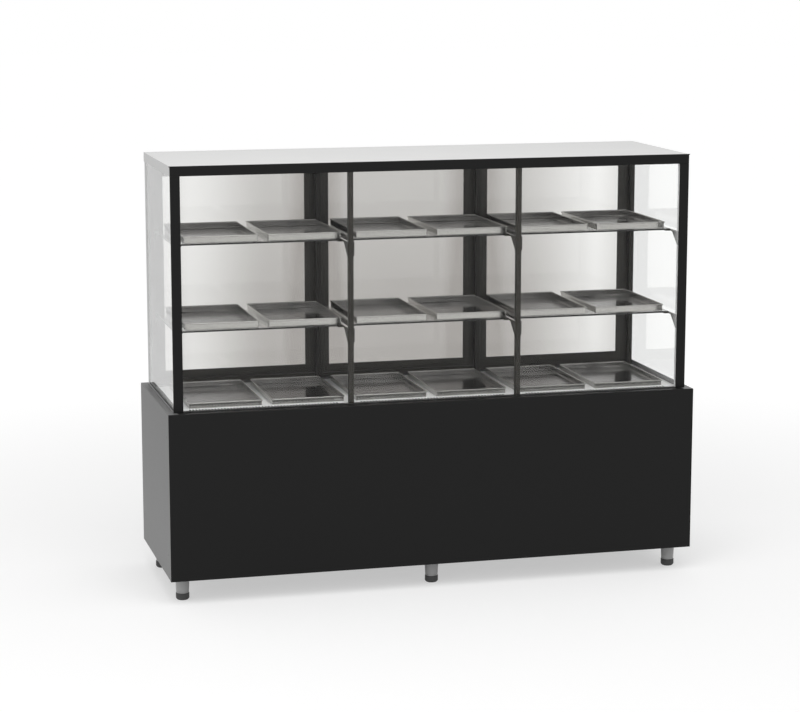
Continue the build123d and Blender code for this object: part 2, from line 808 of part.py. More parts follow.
for (name, x_low), y in zip(door_lefts.items(), reversed(door_grooves)):
    x_high = x_low + door_width
    y_face = y - door_thickness / 2
    with BuildPart() as door_stiles:
        for edge, inward in ((x_low, 1), (x_high, -1)):
            groove_far = finger_groove_edge + finger_groove
            corners = (
                (0, 0),
                (door_stile, 0),
                (door_stile, glazing_low),
                (door_stile - pane_bite, glazing_low),
                (door_stile - pane_bite, glazing_high),
                (door_stile, glazing_high),
                (door_stile, door_thickness),
                (groove_far, door_thickness),
                (groove_far, door_thickness - finger_groove_depth),
                (finger_groove_edge, door_thickness - finger_groove_depth),
                (finger_groove_edge, door_thickness),
                (0, door_thickness),
            )
            with BuildSketch(Plane.XY.offset(door_low)):
                Polygon(*[(edge + inward * u, y_face + v) for u, v in corners], align=None)
            extrude(amount=door_high - door_low)
    save(door_stiles, f"rear_door_{name}_stiles")

    with BuildPart() as door_rails:
        tongue_low = (door_thickness - door_tongue) / 2
        tongue_high = door_thickness - tongue_low
        for edge, inward, tip in (
            (door_low, 1, groove_floor_z + seat_gap),
            (door_high, -1, head_groove_z - door_lift),
        ):
            corners = (
                (y_face, edge),
                (y_face + tongue_low, edge),
                (y_face + tongue_low, tip),
                (y_face + tongue_high, tip),
                (y_face + tongue_high, edge),
                (y_face + door_thickness, edge),
                (y_face + door_thickness, edge + inward * door_rail),
                (y_face + glazing_high, edge + inward * door_rail),
                (y_face + glazing_high, edge + inward * (door_rail - pane_bite)),
                (y_face + glazing_low, edge + inward * (door_rail - pane_bite)),
                (y_face + glazing_low, edge + inward * door_rail),
                (y_face, edge + inward * door_rail),
            )
            with BuildSketch(Plane.YZ.offset(x_low + door_stile)):
                Polygon(*corners, align=None)
            extrude(amount=door_width - 2 * door_stile)
    save(door_rails, f"rear_door_{name}_rails")

    with BuildPart() as door_glass:
        inset_x = door_stile - pane_bite + seat_gap
        inset_z = door_rail - pane_bite + seat_gap
        block(
            (x_low + inset_x, x_high - inset_x),
            (y - door_pane / 2, y + door_pane / 2),
            (door_low + inset_z - seat_gap, door_high - inset_z),
        )
    save(door_glass, f"rear_door_{name}_glass")

# Shelf brackets: an upright web beside each upright, a flange under the glass edge,
# a turned-up stop at its front, and hooks down the uprights with lugs in their slots
bracket_webs = (
    (-bracket_outer, 1),
    (-mullion_x - upright_width / 2, -1),
    (-mullion_x + upright_width / 2, 1),
    (mullion_x - upright_width / 2, -1),
    (mullion_x + upright_width / 2, 1),
    (bracket_outer, -1),
)


def shelf_bracket(x, inward, shelf_top):
    # The web stands against the upright at x and the flange points inward.
    under = shelf_top - shelf_glass - bracket_flange_thickness
    top = shelf_top - bracket_sink
    hook_front = upright_front + hook_inset
    hook_rear = rear_upright_rear - hook_inset
    x_web = min(x, x + inward * bracket_web)
    outline = (
        (hook_front, top),
        (hook_front, under - hook_drop),
        (hook_front + hook_tip, under - hook_drop),
        (upright_rear + hook_reach, under),
        (rear_upright_front - hook_reach, under),
        (hook_rear - hook_tip, under - hook_drop),
        (hook_rear, under - hook_drop),
        (hook_rear, top),
    )
    with BuildSketch(Plane.YZ.offset(x_web)) as web:
        Polygon(*outline, align=None)
    extrude(web.sketch, amount=bracket_web)
    x_flange = span(1, x + inward * bracket_web, x + inward * (bracket_web + bracket_flange))
    y_stop = shelf_front_y - bracket_stop_thickness
    flange_top = under + bracket_flange_thickness
    block(x_flange, (y_stop, shelf_rear_y), (under, flange_top))
    block(x_flange, (y_stop, shelf_front_y - seat_gap), (under, flange_top + bracket_stop))
    low = shelf_top - shelf_height_offset
    half_lug = slot_depth / 2 - lug_gap
    for y_upright in (upright_front, rear_upright_front):
        middle = y_upright + upright_depth / 2
        block(
            span(1, x, x - inward * lug_depth),
            (middle - half_lug, middle + half_lug),
            (low + lug_gap, low + slot_height - lug_gap),
        )


for name, shelf_top in (("lower", lower_shelf_top), ("upper", upper_shelf_top)):
    with BuildPart() as shelf_brackets:
        for x, inward in bracket_webs:
            shelf_bracket(x, inward, shelf_top)
    save(shelf_brackets, f"{name}_shelf_brackets")

    with BuildPart() as shelf_panes:
        half_bay = bay_width / 2 - shelf_side_gap
        pane_z = (shelf_top - shelf_glass, shelf_top)
        for x in bays_x:
            block((x - half_bay, x + half_bay), (shelf_front_y, shelf_rear_y), pane_z)
    save(shelf_panes, f"{name}_shelf_glass")

# Trays, two to a bay on each level
pair_offset = (tray_width + tray_gap) / 2


def tray(x, y_low, bottom, height):
    centre = (x, y_low + tray_depth / 2)
    body_x = tray_width - 2 * tray_rim
    body_y = tray_depth - 2 * tray_rim
    with BuildSketch(Plane(origin=(*centre, bottom))) as body:
        RectangleRounded(body_x, body_y, tray_corner)
    extrude(body.sketch, amount=height)
    with BuildSketch(Plane(origin=(*centre, bottom + height - tray_rim_height))) as rim:
        RectangleRounded(tray_width, tray_depth, tray_corner + tray_rim)
    extrude(rim.sketch, amount=tray_rim_height)
    with BuildSketch(Plane(origin=(*centre, bottom + tray_wall))) as hollow:
        RectangleRounded(body_x - 2 * tray_wall, body_y - 2 * tray_wall, tray_corner - tray_wall)
    extrude(hollow.sketch, amount=height, mode=Mode.SUBTRACT)


for name, bottom, height, y_low, shifts in (
    ("deck", deck_top, deck_tray_height, y_front + deck_tray_front, deck_tray_shifts),
    ("middle", lower_shelf_top, shelf_tray_height, y_front + shelf_tray_front, middle_tray_shifts),
    ("upper", upper_shelf_top, shelf_tray_height, y_front + shelf_tray_front, upper_tray_shifts),
):
    with BuildPart() as trays:
        for bay_x, shift in zip(bays_x, shifts):
            for side in (-1, 1):
                tray(bay_x + shift + side * pair_offset, y_low, bottom, height)
    save(trays, f"trays_{name}")

# Lamp behind the header: a channel in each bay with a lens in its mouth
lamp_front = upright_front + lamp_setback
lamp_half = bay_width / 2 - lamp_end_gap
lamp_low = cover_under - lamp_height
with BuildPart() as led_housings:
    for x in bays_x:
        block((x - lamp_half, x + lamp_half), (lamp_front, lamp_front + lamp_depth), (lamp_low, cover_under))
        block(
            (x - lamp_half, x + lamp_half),
            (lamp_front + lamp_wall, lamp_front + lamp_depth - lamp_wall),
            (lamp_low, cover_under - lamp_wall),
            Mode.SUBTRACT,
        )
save(led_housings, "led_housings")

with BuildPart() as led_diffusers:
    for x in bays_x:
        block(
            (x - lamp_half, x + lamp_half),
            (lamp_front + lamp_wall, lamp_front + lamp_depth - lamp_wall),
            (lamp_low, lamp_low + lamp_lens),
        )
save(led_diffusers, "led_diffusers")
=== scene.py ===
import json

import bpy
import numpy as np
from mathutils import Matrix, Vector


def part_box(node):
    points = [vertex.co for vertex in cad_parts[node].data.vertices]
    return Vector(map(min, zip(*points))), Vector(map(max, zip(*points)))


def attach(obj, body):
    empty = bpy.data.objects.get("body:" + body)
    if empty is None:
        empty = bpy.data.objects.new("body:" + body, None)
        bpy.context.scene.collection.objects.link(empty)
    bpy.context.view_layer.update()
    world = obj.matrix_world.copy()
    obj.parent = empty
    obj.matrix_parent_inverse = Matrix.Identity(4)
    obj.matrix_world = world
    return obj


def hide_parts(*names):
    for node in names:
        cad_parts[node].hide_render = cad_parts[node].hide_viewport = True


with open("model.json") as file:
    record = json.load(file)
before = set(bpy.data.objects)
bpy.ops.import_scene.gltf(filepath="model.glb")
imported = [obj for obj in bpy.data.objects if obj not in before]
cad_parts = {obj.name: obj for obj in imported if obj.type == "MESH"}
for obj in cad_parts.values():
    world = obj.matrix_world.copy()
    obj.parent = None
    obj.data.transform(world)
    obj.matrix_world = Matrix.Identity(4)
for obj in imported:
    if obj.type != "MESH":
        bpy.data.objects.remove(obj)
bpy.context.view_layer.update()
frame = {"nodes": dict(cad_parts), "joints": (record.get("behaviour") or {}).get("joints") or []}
nodes = frame["nodes"]
print("frame loaded:", len(nodes), "nodes")


# Places read from the frame

def ends(node):
    # The lowest and the highest corner of a node at rest.
    low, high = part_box(node)
    return np.array(low), np.array(high)


def solidBoxes(node):
    # Corners at one place count as one. Each takes the lowest label of its triangles until none changes,
    # and each label left over is one solid. The boxes come in order of x, then y.
    mesh = nodes[node].data
    mesh.calc_loop_triangles()
    points = np.empty(len(mesh.vertices) * 3)
    mesh.vertices.foreach_get("co", points)
    corners, place = np.unique(points.reshape(-1, 3).round(5), axis=0, return_inverse=True)
    triangles = np.empty(len(mesh.loop_triangles) * 3, np.int32)
    mesh.loop_triangles.foreach_get("vertices", triangles)
    triangles = place.ravel()[triangles].reshape(-1, 3)
    label = np.arange(len(corners))
    changed = True
    while changed:
        spread = label.copy()
        np.minimum.at(spread, triangles.ravel(), np.repeat(label[triangles].min(1), 3))
        changed = bool((spread != label).any())
        label = spread
    boxes = [(corners[label == one].min(0), corners[label == one].max(0)) for one in np.unique(label)]
    return sorted(boxes, key=lambda box: (round(box[0][0], 4), round(box[0][1], 4)))


# Surfaces worked out as whole arrays

endRings = 4  # rings in the quarter circle at each end of a bar
hair = 0.0001  # keeps the faces of two neighbours out of one plane


def unit(vectors):
    # Each vector divided by its length.
    return vectors / np.linalg.norm(vectors, axis=-1, keepdims=True)


def allRound(count):
    # Angles spaced evenly over a full turn.
    return np.arange(count) / count * 2 * np.pi


def circle(count):
    # Cosine and sine of those angles: a circle of radius one.
    angle = allRound(count)
    return np.stack([np.cos(angle), np.sin(angle)], 1)


def arcs(before, at, after, radius, steps):
    # A corner's arc starts and ends radius / tan(half angle) along its two sides, and turns evenly between.
    radius = np.broadcast_to(np.asarray(radius, float), len(at))[:, None]
    back, ahead = unit(before - at), unit(after - at)
    half = np.arccos(np.clip((back * ahead).sum(1, keepdims=True), -1, 1)) / 2
    centre = at + unit(back + ahead) * radius / np.sin(half)
    start = (at + back * radius / np.tan(half) - centre)[:, None]
    end = (at + ahead * radius / np.tan(half) - centre)[:, None]
    turn = (np.pi - 2 * half)[:, None]
    part = np.linspace(0, 1, steps)[None, :, None]
    return centre[:, None] + (np.sin((1 - part) * turn) * start + np.sin(part * turn) * end) / np.sin(turn)


def anticlockwise(outline):
    # The sum of x times the next y less the next x times y is above zero where an outline runs anticlockwise.
    x, y = outline[:, 0], outline[:, 1]
    area = (x * np.roll(y, -1) - np.roll(x, -1) * y).sum()
    return outline if area > 0 else outline[::-1]


def rounded(corners, radius, steps=4):
    # A closed outline whose corners become arcs.
    corners = anticlockwise(np.asarray(corners, float))
    turns = arcs(np.roll(corners, 1, 0), corners, np.roll(corners, -1, 0), radius, steps)
    return turns.reshape(-1, 2)


def boxCorners(low, high):
    # The four corners of a rectangle, anticlockwise from its lowest one.
    return [(low[0], low[1]), (high[0], low[1]), (high[0], high[1]), (low[0], high[1])]


def oblong(low, high, radius, steps=4):
    # A rectangle whose corners become arcs.
    return rounded(boxCorners(low, high), radius, steps)


def outwards(outline):
    # At each point, the step that moves both of its sides outwards by one.
    side = unit(np.roll(outline, -1, 0) - outline)
    normal = np.stack([side[:, 1], -side[:, 0]], 1)
    both = normal + np.roll(normal, 1, 0)
    return 2 * both / (both ** 2).sum(1, keepdims=True)


def bentLine(path, bend, steps=5):
    # An open line whose inner corners become arcs.
    path = np.asarray(path, float)
    turns = arcs(path[:-2], path[1:-1], path[2:], bend, steps).reshape(-1, 2)
    return np.concatenate([path[:1], turns, path[-1:]])


def leftwards(line):
    # At each point of an open line, a step of one to the left, half-way between the lefts of its two sides.
    side = unit(np.diff(line, axis=0))
    left = np.stack([-side[:, 1], side[:, 0]], 1)
    return unit(np.concatenate([left[:1], left[:-1] + left[1:], left[-1:]]))


def folded(path, thickness, bend):
    # The outline of a folded sheet: a face half a thickness to either side of its middle line, and a half
    # circle round each free edge.
    line = bentLine(path, bend)
    first, last = unit(line[1] - line[0]), unit(line[-1] - line[-2])
    step = leftwards(line) * thickness / 2
    angle = np.linspace(0, np.pi, 5)[1:-1, None]
    nose = line[-1] + step[-1] * np.cos(angle) + last * thickness / 2 * np.sin(angle)
    tail = line[0] - step[0] * np.cos(angle) - first * thickness / 2 * np.sin(angle)
    return anticlockwise(np.concatenate([line + step, nose, (line - step)[::-1], tail]))


axisOrder = {"x": (1, 2, 0), "y": (0, 2, 1), "z": (0, 1, 2)}  # an outline's two axes, then the one along it


def lay(flat, along, axis):
    # An outline's two coordinates and the distance along an axis, set in place.
    points = np.empty(flat.shape[:-1] + (3,))
    for place, values in zip(axisOrder[axis], (flat[..., 0], flat[..., 1], along)):
        points[..., place] = values
    return points


def stack(rings, loop=False, flip=False):
    # A surface of two parameters: which ring, and how far round it. It is closed by a face at each end,
    # or by joining the last ring to the first.
    count, around = rings.shape[:2]
    ring = np.arange(count if loop else count - 1)[:, None]
    place = np.arange(around)[None]
    nextRing, nextPlace = (ring + 1) % count, (place + 1) % around
    quads = np.stack([ring * around + place, ring * around + nextPlace,
                      nextRing * around + nextPlace, nextRing * around + place], -1).reshape(-1, 4)
    faces = quads.tolist()
    if not loop:
        faces += [list(range(around))[::-1], list(range((count - 1) * around, count * around))]
    if flip:
        faces = [face[::-1] for face in faces]
    return rings.reshape(-1, 3), faces


def closedRings(rings):
    # Outlines in X and Z, each with its place along Y, joined into a surface that closes on itself.
    return stack(np.array([lay(flat, along, "y") for flat, along in rings]), loop=True, flip=True)


def barRings(outline, low, high, axis, edge, stops=()):
    # The outline at each distance from low to high, drawn in at both ends by a quarter circle of radius edge.
    bend = np.linspace(0, np.pi / 2, endRings)
    drawn, rise = edge * (1 - np.sin(bend)), edge * (1 - np.cos(bend))
    offsets = -np.concatenate([drawn, np.zeros(len(stops)), drawn[::-1]])
    along = np.concatenate([low + rise, np.asarray(stops, float), high - rise[::-1]])
    flat = outline[None] + offsets[:, None, None] * outwards(outline)[None]
    return lay(flat, along[:, None], axis)


def bar(outline, low, high, axis, edge=0.0003):
    # An outline carried along an axis, with rounded ends.
    return stack(barRings(outline, low, high, axis, edge), flip=axis == "y")


def slab(low, high, radius, axis="z", corner=None):
    # A block with all its edges rounded. corner is the radius of the four edges along the axis.
    first, second, third = axisOrder[axis]
    outline = oblong((low[first], low[second]), (high[first], high[second]), corner or radius)
    return bar(outline, low[third], high[third], axis, radius)


def tube(outline, wall, low, high, edge=0.0004):
    # An upright hollow bar: its outer face up, its inner face down, and quarter circles between them.
    bend = np.linspace(0, np.pi / 2, 3)
    drawn, rise = edge * (1 - np.sin(bend)), edge * (1 - np.cos(bend))
    offsets = np.concatenate([-drawn, -drawn[::-1], drawn - wall, drawn[::-1] - wall])
    along = np.concatenate([low + rise, high - rise[::-1], high - rise, low + rise[::-1]])
    flat = outline[None] + offsets[:, None, None] * outwards(outline)[None]
    return stack(lay(flat, along[:, None], "z"), loop=True)


def turned(profile, centre, count, flutes=0.0):
    # A profile of radius and height carried round an upright axis. flutes is how deep its rings are fluted.
    profile = np.asarray(profile, float)
    wave = 0.5 + 0.5 * np.cos(allRound(count) * count / 4)
    radius = profile[:, :1] - np.broadcast_to(flutes, len(profile))[:, None] * wave[None]
    flat = radius[..., None] * circle(count) + np.asarray(centre[:2])
    return stack(lay(flat, profile[:, 1:], "z"))


def windowed(front, back, solid):
    # Two skins given as grids of points, with a wall wherever a solid cell meets an empty one or an edge.
    # Where the grid has as many points across as cells, it closes on itself.
    across = front.shape[1]
    closed = across == solid.shape[1]
    row, column = np.indices(solid.shape)
    right = (column + 1) % across
    lower, upper = row * across, (row + 1) * across
    corners = [lower + column, lower + right, upper + right, upper + column]
    far = front.shape[0] * across
    before = np.roll(solid, 1, 1) if closed else np.pad(solid, ((0, 0), (1, 0)))[:, :-1]
    beyond = np.roll(solid, -1, 1) if closed else np.pad(solid, ((0, 0), (0, 1)))[:, 1:]
    below = np.pad(solid, ((1, 0), (0, 0)))[:-1]
    above = np.pad(solid, ((0, 1), (0, 0)))[1:]
    faces = [np.stack(corners, -1)[solid], np.stack(corners[::-1], -1)[solid] + far]
    for neighbour, near, following in zip((below, beyond, above, before), corners, corners[1:] + corners[:1]):
        wall = np.stack([near, near + far, following + far, following], -1)
        faces.append(wall[solid & ~neighbour])
    points = np.concatenate([front.reshape(-1, 3), back.reshape(-1, 3)])
    return points, np.concatenate(faces).tolist()


def piece(name, shapes, finish, stands=(), body="root", crease=38, values=None):
    # Joins the shapes into one object with smooth rounded edges. values holds a number for each point under a
    # name that the finish reads.
    starts = np.cumsum([0] + [len(points) for points, faces in shapes[:-1]])
    points = np.concatenate([points for points, faces in shapes])
    faces = [[corner + int(start) for corner in face]
             for shape, start in zip(shapes, starts) for face in shape[1]]
    mesh = bpy.data.meshes.new(name)
    mesh.from_pydata(points.tolist(), [], faces)
    mesh.shade_smooth()
    mesh.set_sharp_from_angle(angle=np.radians(crease))
    mesh.materials.append(finish)
    for label, numbers in (values or {}).items():
        held = mesh.attributes.new(label, "FLOAT", "POINT")
        held.data.foreach_set("value", np.asarray(numbers, np.float32))
    made = bpy.data.objects.new(name, mesh)
    bpy.context.scene.collection.objects.link(made)
    made.modifiers.new("evenNormals", "WEIGHTED_NORMAL").keep_sharp = True
    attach(made, body)
    if stands:
        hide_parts(*stands)


# Shader nodes

def feed(tree, socket, value):
    # A socket is linked to the output of another node, or holds a plain value.
    if hasattr(value, "links"):
        tree.links.new(value, socket)
    else:
        socket.default_value = value


def add(tree, kind, **values):
    # A new node with its own settings and what feeds its sockets.
    node = tree.nodes.new(kind)
    for label, value in values.items():
        if label in node.inputs:
            feed(tree, node.inputs[label], value)
        else:
            setattr(node, label, value)
    return node


def objectPoint(tree):
    # The point's place on the piece, in metres.
    return tree.nodes.new("ShaderNodeTexCoord").outputs["Object"]


def heldValue(tree, label):
    # The number that a piece holds at each point under the label.
    return add(tree, "ShaderNodeAttribute", attribute_name=label).outputs["Fac"]


def noise(tree, vector, scale, detail):
    # Soft random clouds from 0 to 1, about scale of them to the metre.
    return add(tree, "ShaderNodeTexNoise", Vector=vector, Scale=scale, Detail=detail).outputs[0]


def axisOf(tree, vector, axis):
    # One coordinate of a vector.
    return add(tree, "ShaderNodeSeparateXYZ", Vector=vector).outputs[axis]


def math(tree, operation, first, second=0.0):
    # One step of arithmetic on two values.
    node = add(tree, "ShaderNodeMath", operation=operation)
    feed(tree, node.inputs[0], first)
    feed(tree, node.inputs[1], second)
    return node.outputs[0]


def ramp(tree, value, low, high, start=0.0, stop=1.0, shape="LINEAR"):
    # A value that runs from start to stop is moved to run from low to high.
    sockets = {"Value": value, "From Min": start, "From Max": stop, "To Min": low, "To Max": high}
    return add(tree, "ShaderNodeMapRange", interpolation_type=shape, **sockets).outputs["Result"]


def mixed(tree, factor, first, second):
    # The first colour where the factor is 0, and the second where it is 1.
    return add(tree, "ShaderNodeMix", data_type="RGBA", Factor=factor, A=first, B=second).outputs["Result"]


def plainColour(tree, colour):
    # One colour all over.
    node = tree.nodes.new("ShaderNodeRGB")
    node.outputs[0].default_value = colour
    return node.outputs[0]


def scaled(tree, colour, factor):
    # A colour times a factor.
    node = add(tree, "ShaderNodeVectorMath", operation="SCALE", Scale=factor)
    feed(tree, node.inputs[0], colour)
    return node.outputs[0]


def bumped(tree, height, strength, distance):
    # The normal tipped by the slope of the height, which rises by the distance from 0 to 1.
    return add(tree, "ShaderNodeBump", Height=height, Strength=strength, Distance=distance).outputs[0]


def uprightFaces(tree, limit):
    # 1 where the normal's share of Z is under the limit, and 0 on faces that look up or down.
    normal = tree.nodes.new("ShaderNodeTexCoord").outputs["Normal"]
    return math(tree, "LESS_THAN", math(tree, "ABSOLUTE", axisOf(tree, normal, "Z")), limit)


def seenDirectly(tree):
    # 1 for rays from the camera, off glossy surfaces and through glass, and 0 for those that light the case.
    way = tree.nodes.new("ShaderNodeLightPath").outputs
    first = math(tree, "MAXIMUM", way["Is Camera Ray"], way["Is Glossy Ray"])
    return math(tree, "MAXIMUM", first, way["Is Transmission Ray"])


# Shader effects that several finishes share

def newEffect(name, **inputs):
    # A group with named inputs, which puts out a colour, a roughness and a normal.
    group = bpy.data.node_groups.new(name, "ShaderNodeTree")
    for label, (kind, value) in inputs.items():
        socket = group.interface.new_socket(label, in_out="INPUT", socket_type=f"NodeSocket{kind}")
        socket.default_value = value
    for label, kind in (("Colour", "Color"), ("Roughness", "Float"), ("Normal", "Vector")):
        group.interface.new_socket(label, in_out="OUTPUT", socket_type=f"NodeSocket{kind}")
    return group, group.nodes.new("NodeGroupInput").outputs


def varied(group, given, slow, fine):
    # The tone times a pattern that runs from 1 - Variation to 1 + Variation, times a second pattern.
    less = math(group, "SUBTRACT", 1.0, given["Variation"])
    more = math(group, "ADD", 1.0, given["Variation"])
    return scaled(group, given["Tone"], math(group, "MULTIPLY", ramp(group, slow, less, more), fine))


def coatEffect():
    # Powder coat: slow changes of tone, a fine speckle, and the low bumps of orange peel.
    group, given = newEffect(
        "powderCoat", Tone=("Color", (0.5, 0.5, 0.5, 1)), Variation=("Float", 0.05), Gloss=("Float", 0.4),
        Peel=("Float", 0.1))
    point = objectPoint(group)
    peel = noise(group, point, 330, 2)
    speckle = ramp(group, noise(group, point, 900, 1), 0.97, 1.03)
    add(group, "NodeGroupOutput",
        Colour=varied(group, given, noise(group, point, 2.3, 3), speckle),
        Roughness=math(group, "ADD", given["Gloss"], ramp(group, peel, -0.05, 0.05)),
        Normal=bumped(group, peel, given["Peel"], 0.0006))
    return group


def grainEffect():
    # Metal with a drawn grain: noise stretched along one direction, over slow changes of tone.
    group, given = newEffect(
        "drawnGrain", Tone=("Color", (0.5, 0.5, 0.5, 1)), Stretch=("Vector", (10, 900, 900)),
        Variation=("Float", 0.1), Gloss=("Float", 0.3), Depth=("Float", 0.1))
    point = objectPoint(group)
    along = add(group, "ShaderNodeVectorMath", operation="MULTIPLY")
    feed(group, along.inputs[0], point)
    feed(group, along.inputs[1], given["Stretch"])
    streaks = noise(group, along.outputs[0], 1.0, 3)
    cloud = ramp(group, noise(group, point, 6.0, 3), 0.93, 1.07)
    add(group, "NodeGroupOutput",
        Colour=varied(group, given, streaks, cloud),
        Roughness=math(group, "MULTIPLY", given["Gloss"], ramp(group, streaks, 0.75, 1.25)),
        Normal=bumped(group, streaks, given["Depth"], 0.0003))
    return group


coat, grain = coatEffect(), grainEffect()


# Finishes

def newFinish(name, **values):
    # A material with plain values on its main shader.
    material = bpy.data.materials.new(name)
    material.use_nodes = True
    shader = material.node_tree.nodes["Principled BSDF"]
    for label, value in values.items():
        shader.inputs[label].default_value = value
    return material, material.node_tree, shader


def finishWith(effect, name, settings, metallic=0.0, specular=0.5):
    # A finish whose colour, roughness and normal come from a shared effect.
    material, tree, shader = newFinish(name, Metallic=metallic, **{"Specular IOR Level": specular})
    node = add(tree, "ShaderNodeGroup", node_tree=effect, name="effect", **settings)
    for label, socket in (("Colour", "Base Color"), ("Roughness", "Roughness"), ("Normal", "Normal")):
        tree.links.new(node.outputs[label], shader.inputs[socket])
    return material


def coated(name, tone, variation, gloss, peel, specular=0.5):
    # A powder-coated sheet.
    settings = dict(Tone=tone, Variation=variation, Gloss=gloss, Peel=peel)
    return finishWith(coat, name, settings, specular=specular)


def brushed(name, tone, stretch, variation, gloss, depth, metallic, specular=0.5):
    # A metal whose grain is closest across and longest along the axis of its least stretch.
    settings = dict(Tone=tone, Stretch=stretch, Variation=variation, Gloss=gloss, Depth=depth)
    return finishWith(grain, name, settings, metallic, specular)


def retone(material, colour):
    # Another colour takes the place of the finish's tone.
    material.node_tree.links.new(colour, material.node_tree.nodes["effect"].inputs["Tone"])


def toneBy(material, label, first, second):
    # The finish goes from its first tone to its second with the values that a piece holds under the label.
    tree = material.node_tree
    retone(material, mixed(tree, heldValue(tree, label), first, second))


def paintedShadeUpwards(material, tone, bottom, top, least):
    # Painted shade: between the two heights the tone falls evenly to its least share, so a sheet is painted
    # lighter near the floor, as the floor's bounce light would make it.
    tree = material.node_tree
    fade = ramp(tree, axisOf(tree, objectPoint(tree), "Z"), 1.0, least, bottom, top)
    retone(material, scaled(tree, plainColour(tree, tone), fade))


def paintedSlotShade(material, tone, slotShadeTone, level):
    # Painted shade: where the coated deck sheet is cut, its upright faces below the level, in the vent slots,
    # are painted nearly black as the slots' shade.
    tree = material.node_tree
    low = math(tree, "LESS_THAN", axisOf(tree, objectPoint(tree), "Z"), level)
    retone(material, mixed(tree, math(tree, "MULTIPLY", uprightFaces(tree, 0.5), low), tone, slotShadeTone))


def grey(level):
    # The same level of red, green and blue.
    return (level, level, level, 1)


# Some of these tones are painted light and shade: the deck's slot shade, the pale hooks and post sides, and
# the dark inside of the trays.
tones = dict(
    blackPanel=grey(0.009), greyPanel=grey(0.185), cover=(0.63, 0.63, 0.625, 1), deck=(0.90, 0.905, 0.90, 1),
    slotShade=grey(0.03), trim=grey(0.0078), upright=(0.0190, 0.0170, 0.0132, 1), hookHighlight=grey(0.45),
    profile=(0.040, 0.037, 0.031, 1), postSheen=grey(0.5), channel=grey(0.42), standard=grey(0.86),
    zinc=(0.55, 0.56, 0.57, 1), tray=(0.42, 0.415, 0.395, 1), trayPaintedShade=(0.085, 0.08, 0.08, 1),
    rubber=grey(0.012), sleeve=grey(0.46), tip=grey(0.06), plastic=grey(0.014), lens=(0.85, 0.85, 0.82, 1),
    mark=grey(0.75),
)

blackCoat = coated("blackCoat", tones["blackPanel"], variation=0.06, gloss=0.42, peel=0.12, specular=0.16)
greyCoat = coated("greyCoat", tones["greyPanel"], variation=0.03, gloss=0.45, peel=0.12, specular=0.25)
# The grey sheets get painted shade upwards and painted floor light towards their feet.
paintedShadeUpwards(greyCoat, tones["greyPanel"], bottom=0.2, top=0.65, least=0.68)
coverCoat = coated("coverCoat", tones["cover"], variation=0.02, gloss=0.45, peel=0.1)
deckCoat = coated("deckCoat", tones["deck"], variation=0.015, gloss=0.35, peel=0.08)
# The vent slots' cut faces get painted shade.
paintedSlotShade(deckCoat, tones["deck"], tones["slotShade"], ends("deck_vent_grilles")[1][2])
trimCoat = coated("trimCoat", tones["trim"], variation=0.05, gloss=0.4, peel=0.08, specular=0.15)
uprightCoat, bracketCoat = (
    coated(name, tones["upright"], variation=0.08, gloss=0.42, peel=0.12, specular=0.22)
    for name in ("uprightCoat", "bracketCoat"))
# The end brackets' hooks are painted pale as a painted highlight.
toneBy(bracketCoat, "hookLight", tones["upright"], tones["hookHighlight"])

profileFinish, postFinish = (
    brushed(name, tones["profile"], (14, 700, 14), variation=0.1, gloss=0.38, depth=0.05, metallic=0.15,
            specular=0.3)
    for name in ("darkAnodised", "postAnodised"))
# The rear posts' outer sides are painted pale: a painted sheen.
toneBy(postFinish, "outerSide", tones["profile"], tones["postSheen"])
channelFinish = brushed("naturalAnodised", tones["channel"], (700, 14, 700), variation=0.06, gloss=0.36,
                        depth=0.05, metallic=0.8)
paleStandard = brushed("brightAnodised", tones["standard"], (700, 700, 14), variation=0.04, gloss=0.45,
                       depth=0.03, metallic=0.1)
zincFinish = brushed("zincPlate", tones["zinc"], (60, 60, 60), variation=0.18, gloss=0.34,
                     depth=0.1, metallic=1.0)
trayFinish = brushed("rolledSteel", tones["tray"], (5, 240, 240), variation=0.05, gloss=0.16,
                     depth=0.008, metallic=1.0)
# Painted shade: the inside of a tray is darker than its outside, as the shade of goods standing on it, but
# for a painted highlight as a bright line where walls and floor meet
toneBy(trayFinish, "inside", tones["tray"], tones["trayPaintedShade"])


def mouldedPlastic(name, tone, gloss, grainSize=700, depth=0.15):
    # Moulded plastic: a fine spark-eroded grain and a slight change of tone.
    material, tree, shader = newFinish(name, Roughness=gloss)
    point = objectPoint(tree)
    cloud = ramp(tree, noise(tree, point, 12, 2), 0.92, 1.08)
    pebble = add(tree, "ShaderNodeTexVoronoi", Vector=point, Scale=grainSize).outputs["Distance"]
    tree.links.new(scaled(tree, plainColour(tree, tone), cloud), shader.inputs["Base Color"])
    tree.links.new(bumped(tree, pebble, depth, 0.0004), shader.inputs["Normal"])
    return material


sleevePlastic = mouldedPlastic("greyPlastic", tones["sleeve"], gloss=0.5)
tipPlastic = mouldedPlastic("darkPlastic", tones["tip"], gloss=0.55)
blackPlastic = mouldedPlastic("blackPlastic", tones["plastic"], gloss=0.32, grainSize=900, depth=0.06)
rubber = mouldedPlastic("blackRubber", tones["rubber"], gloss=0.72, grainSize=1200, depth=0.1)
lensPlastic = mouldedPlastic("frostedLens", tones["lens"], gloss=0.5, grainSize=500, depth=0.05)
markPaint = mouldedPlastic("markPaint", tones["mark"], gloss=0.5, grainSize=800, depth=0.05)


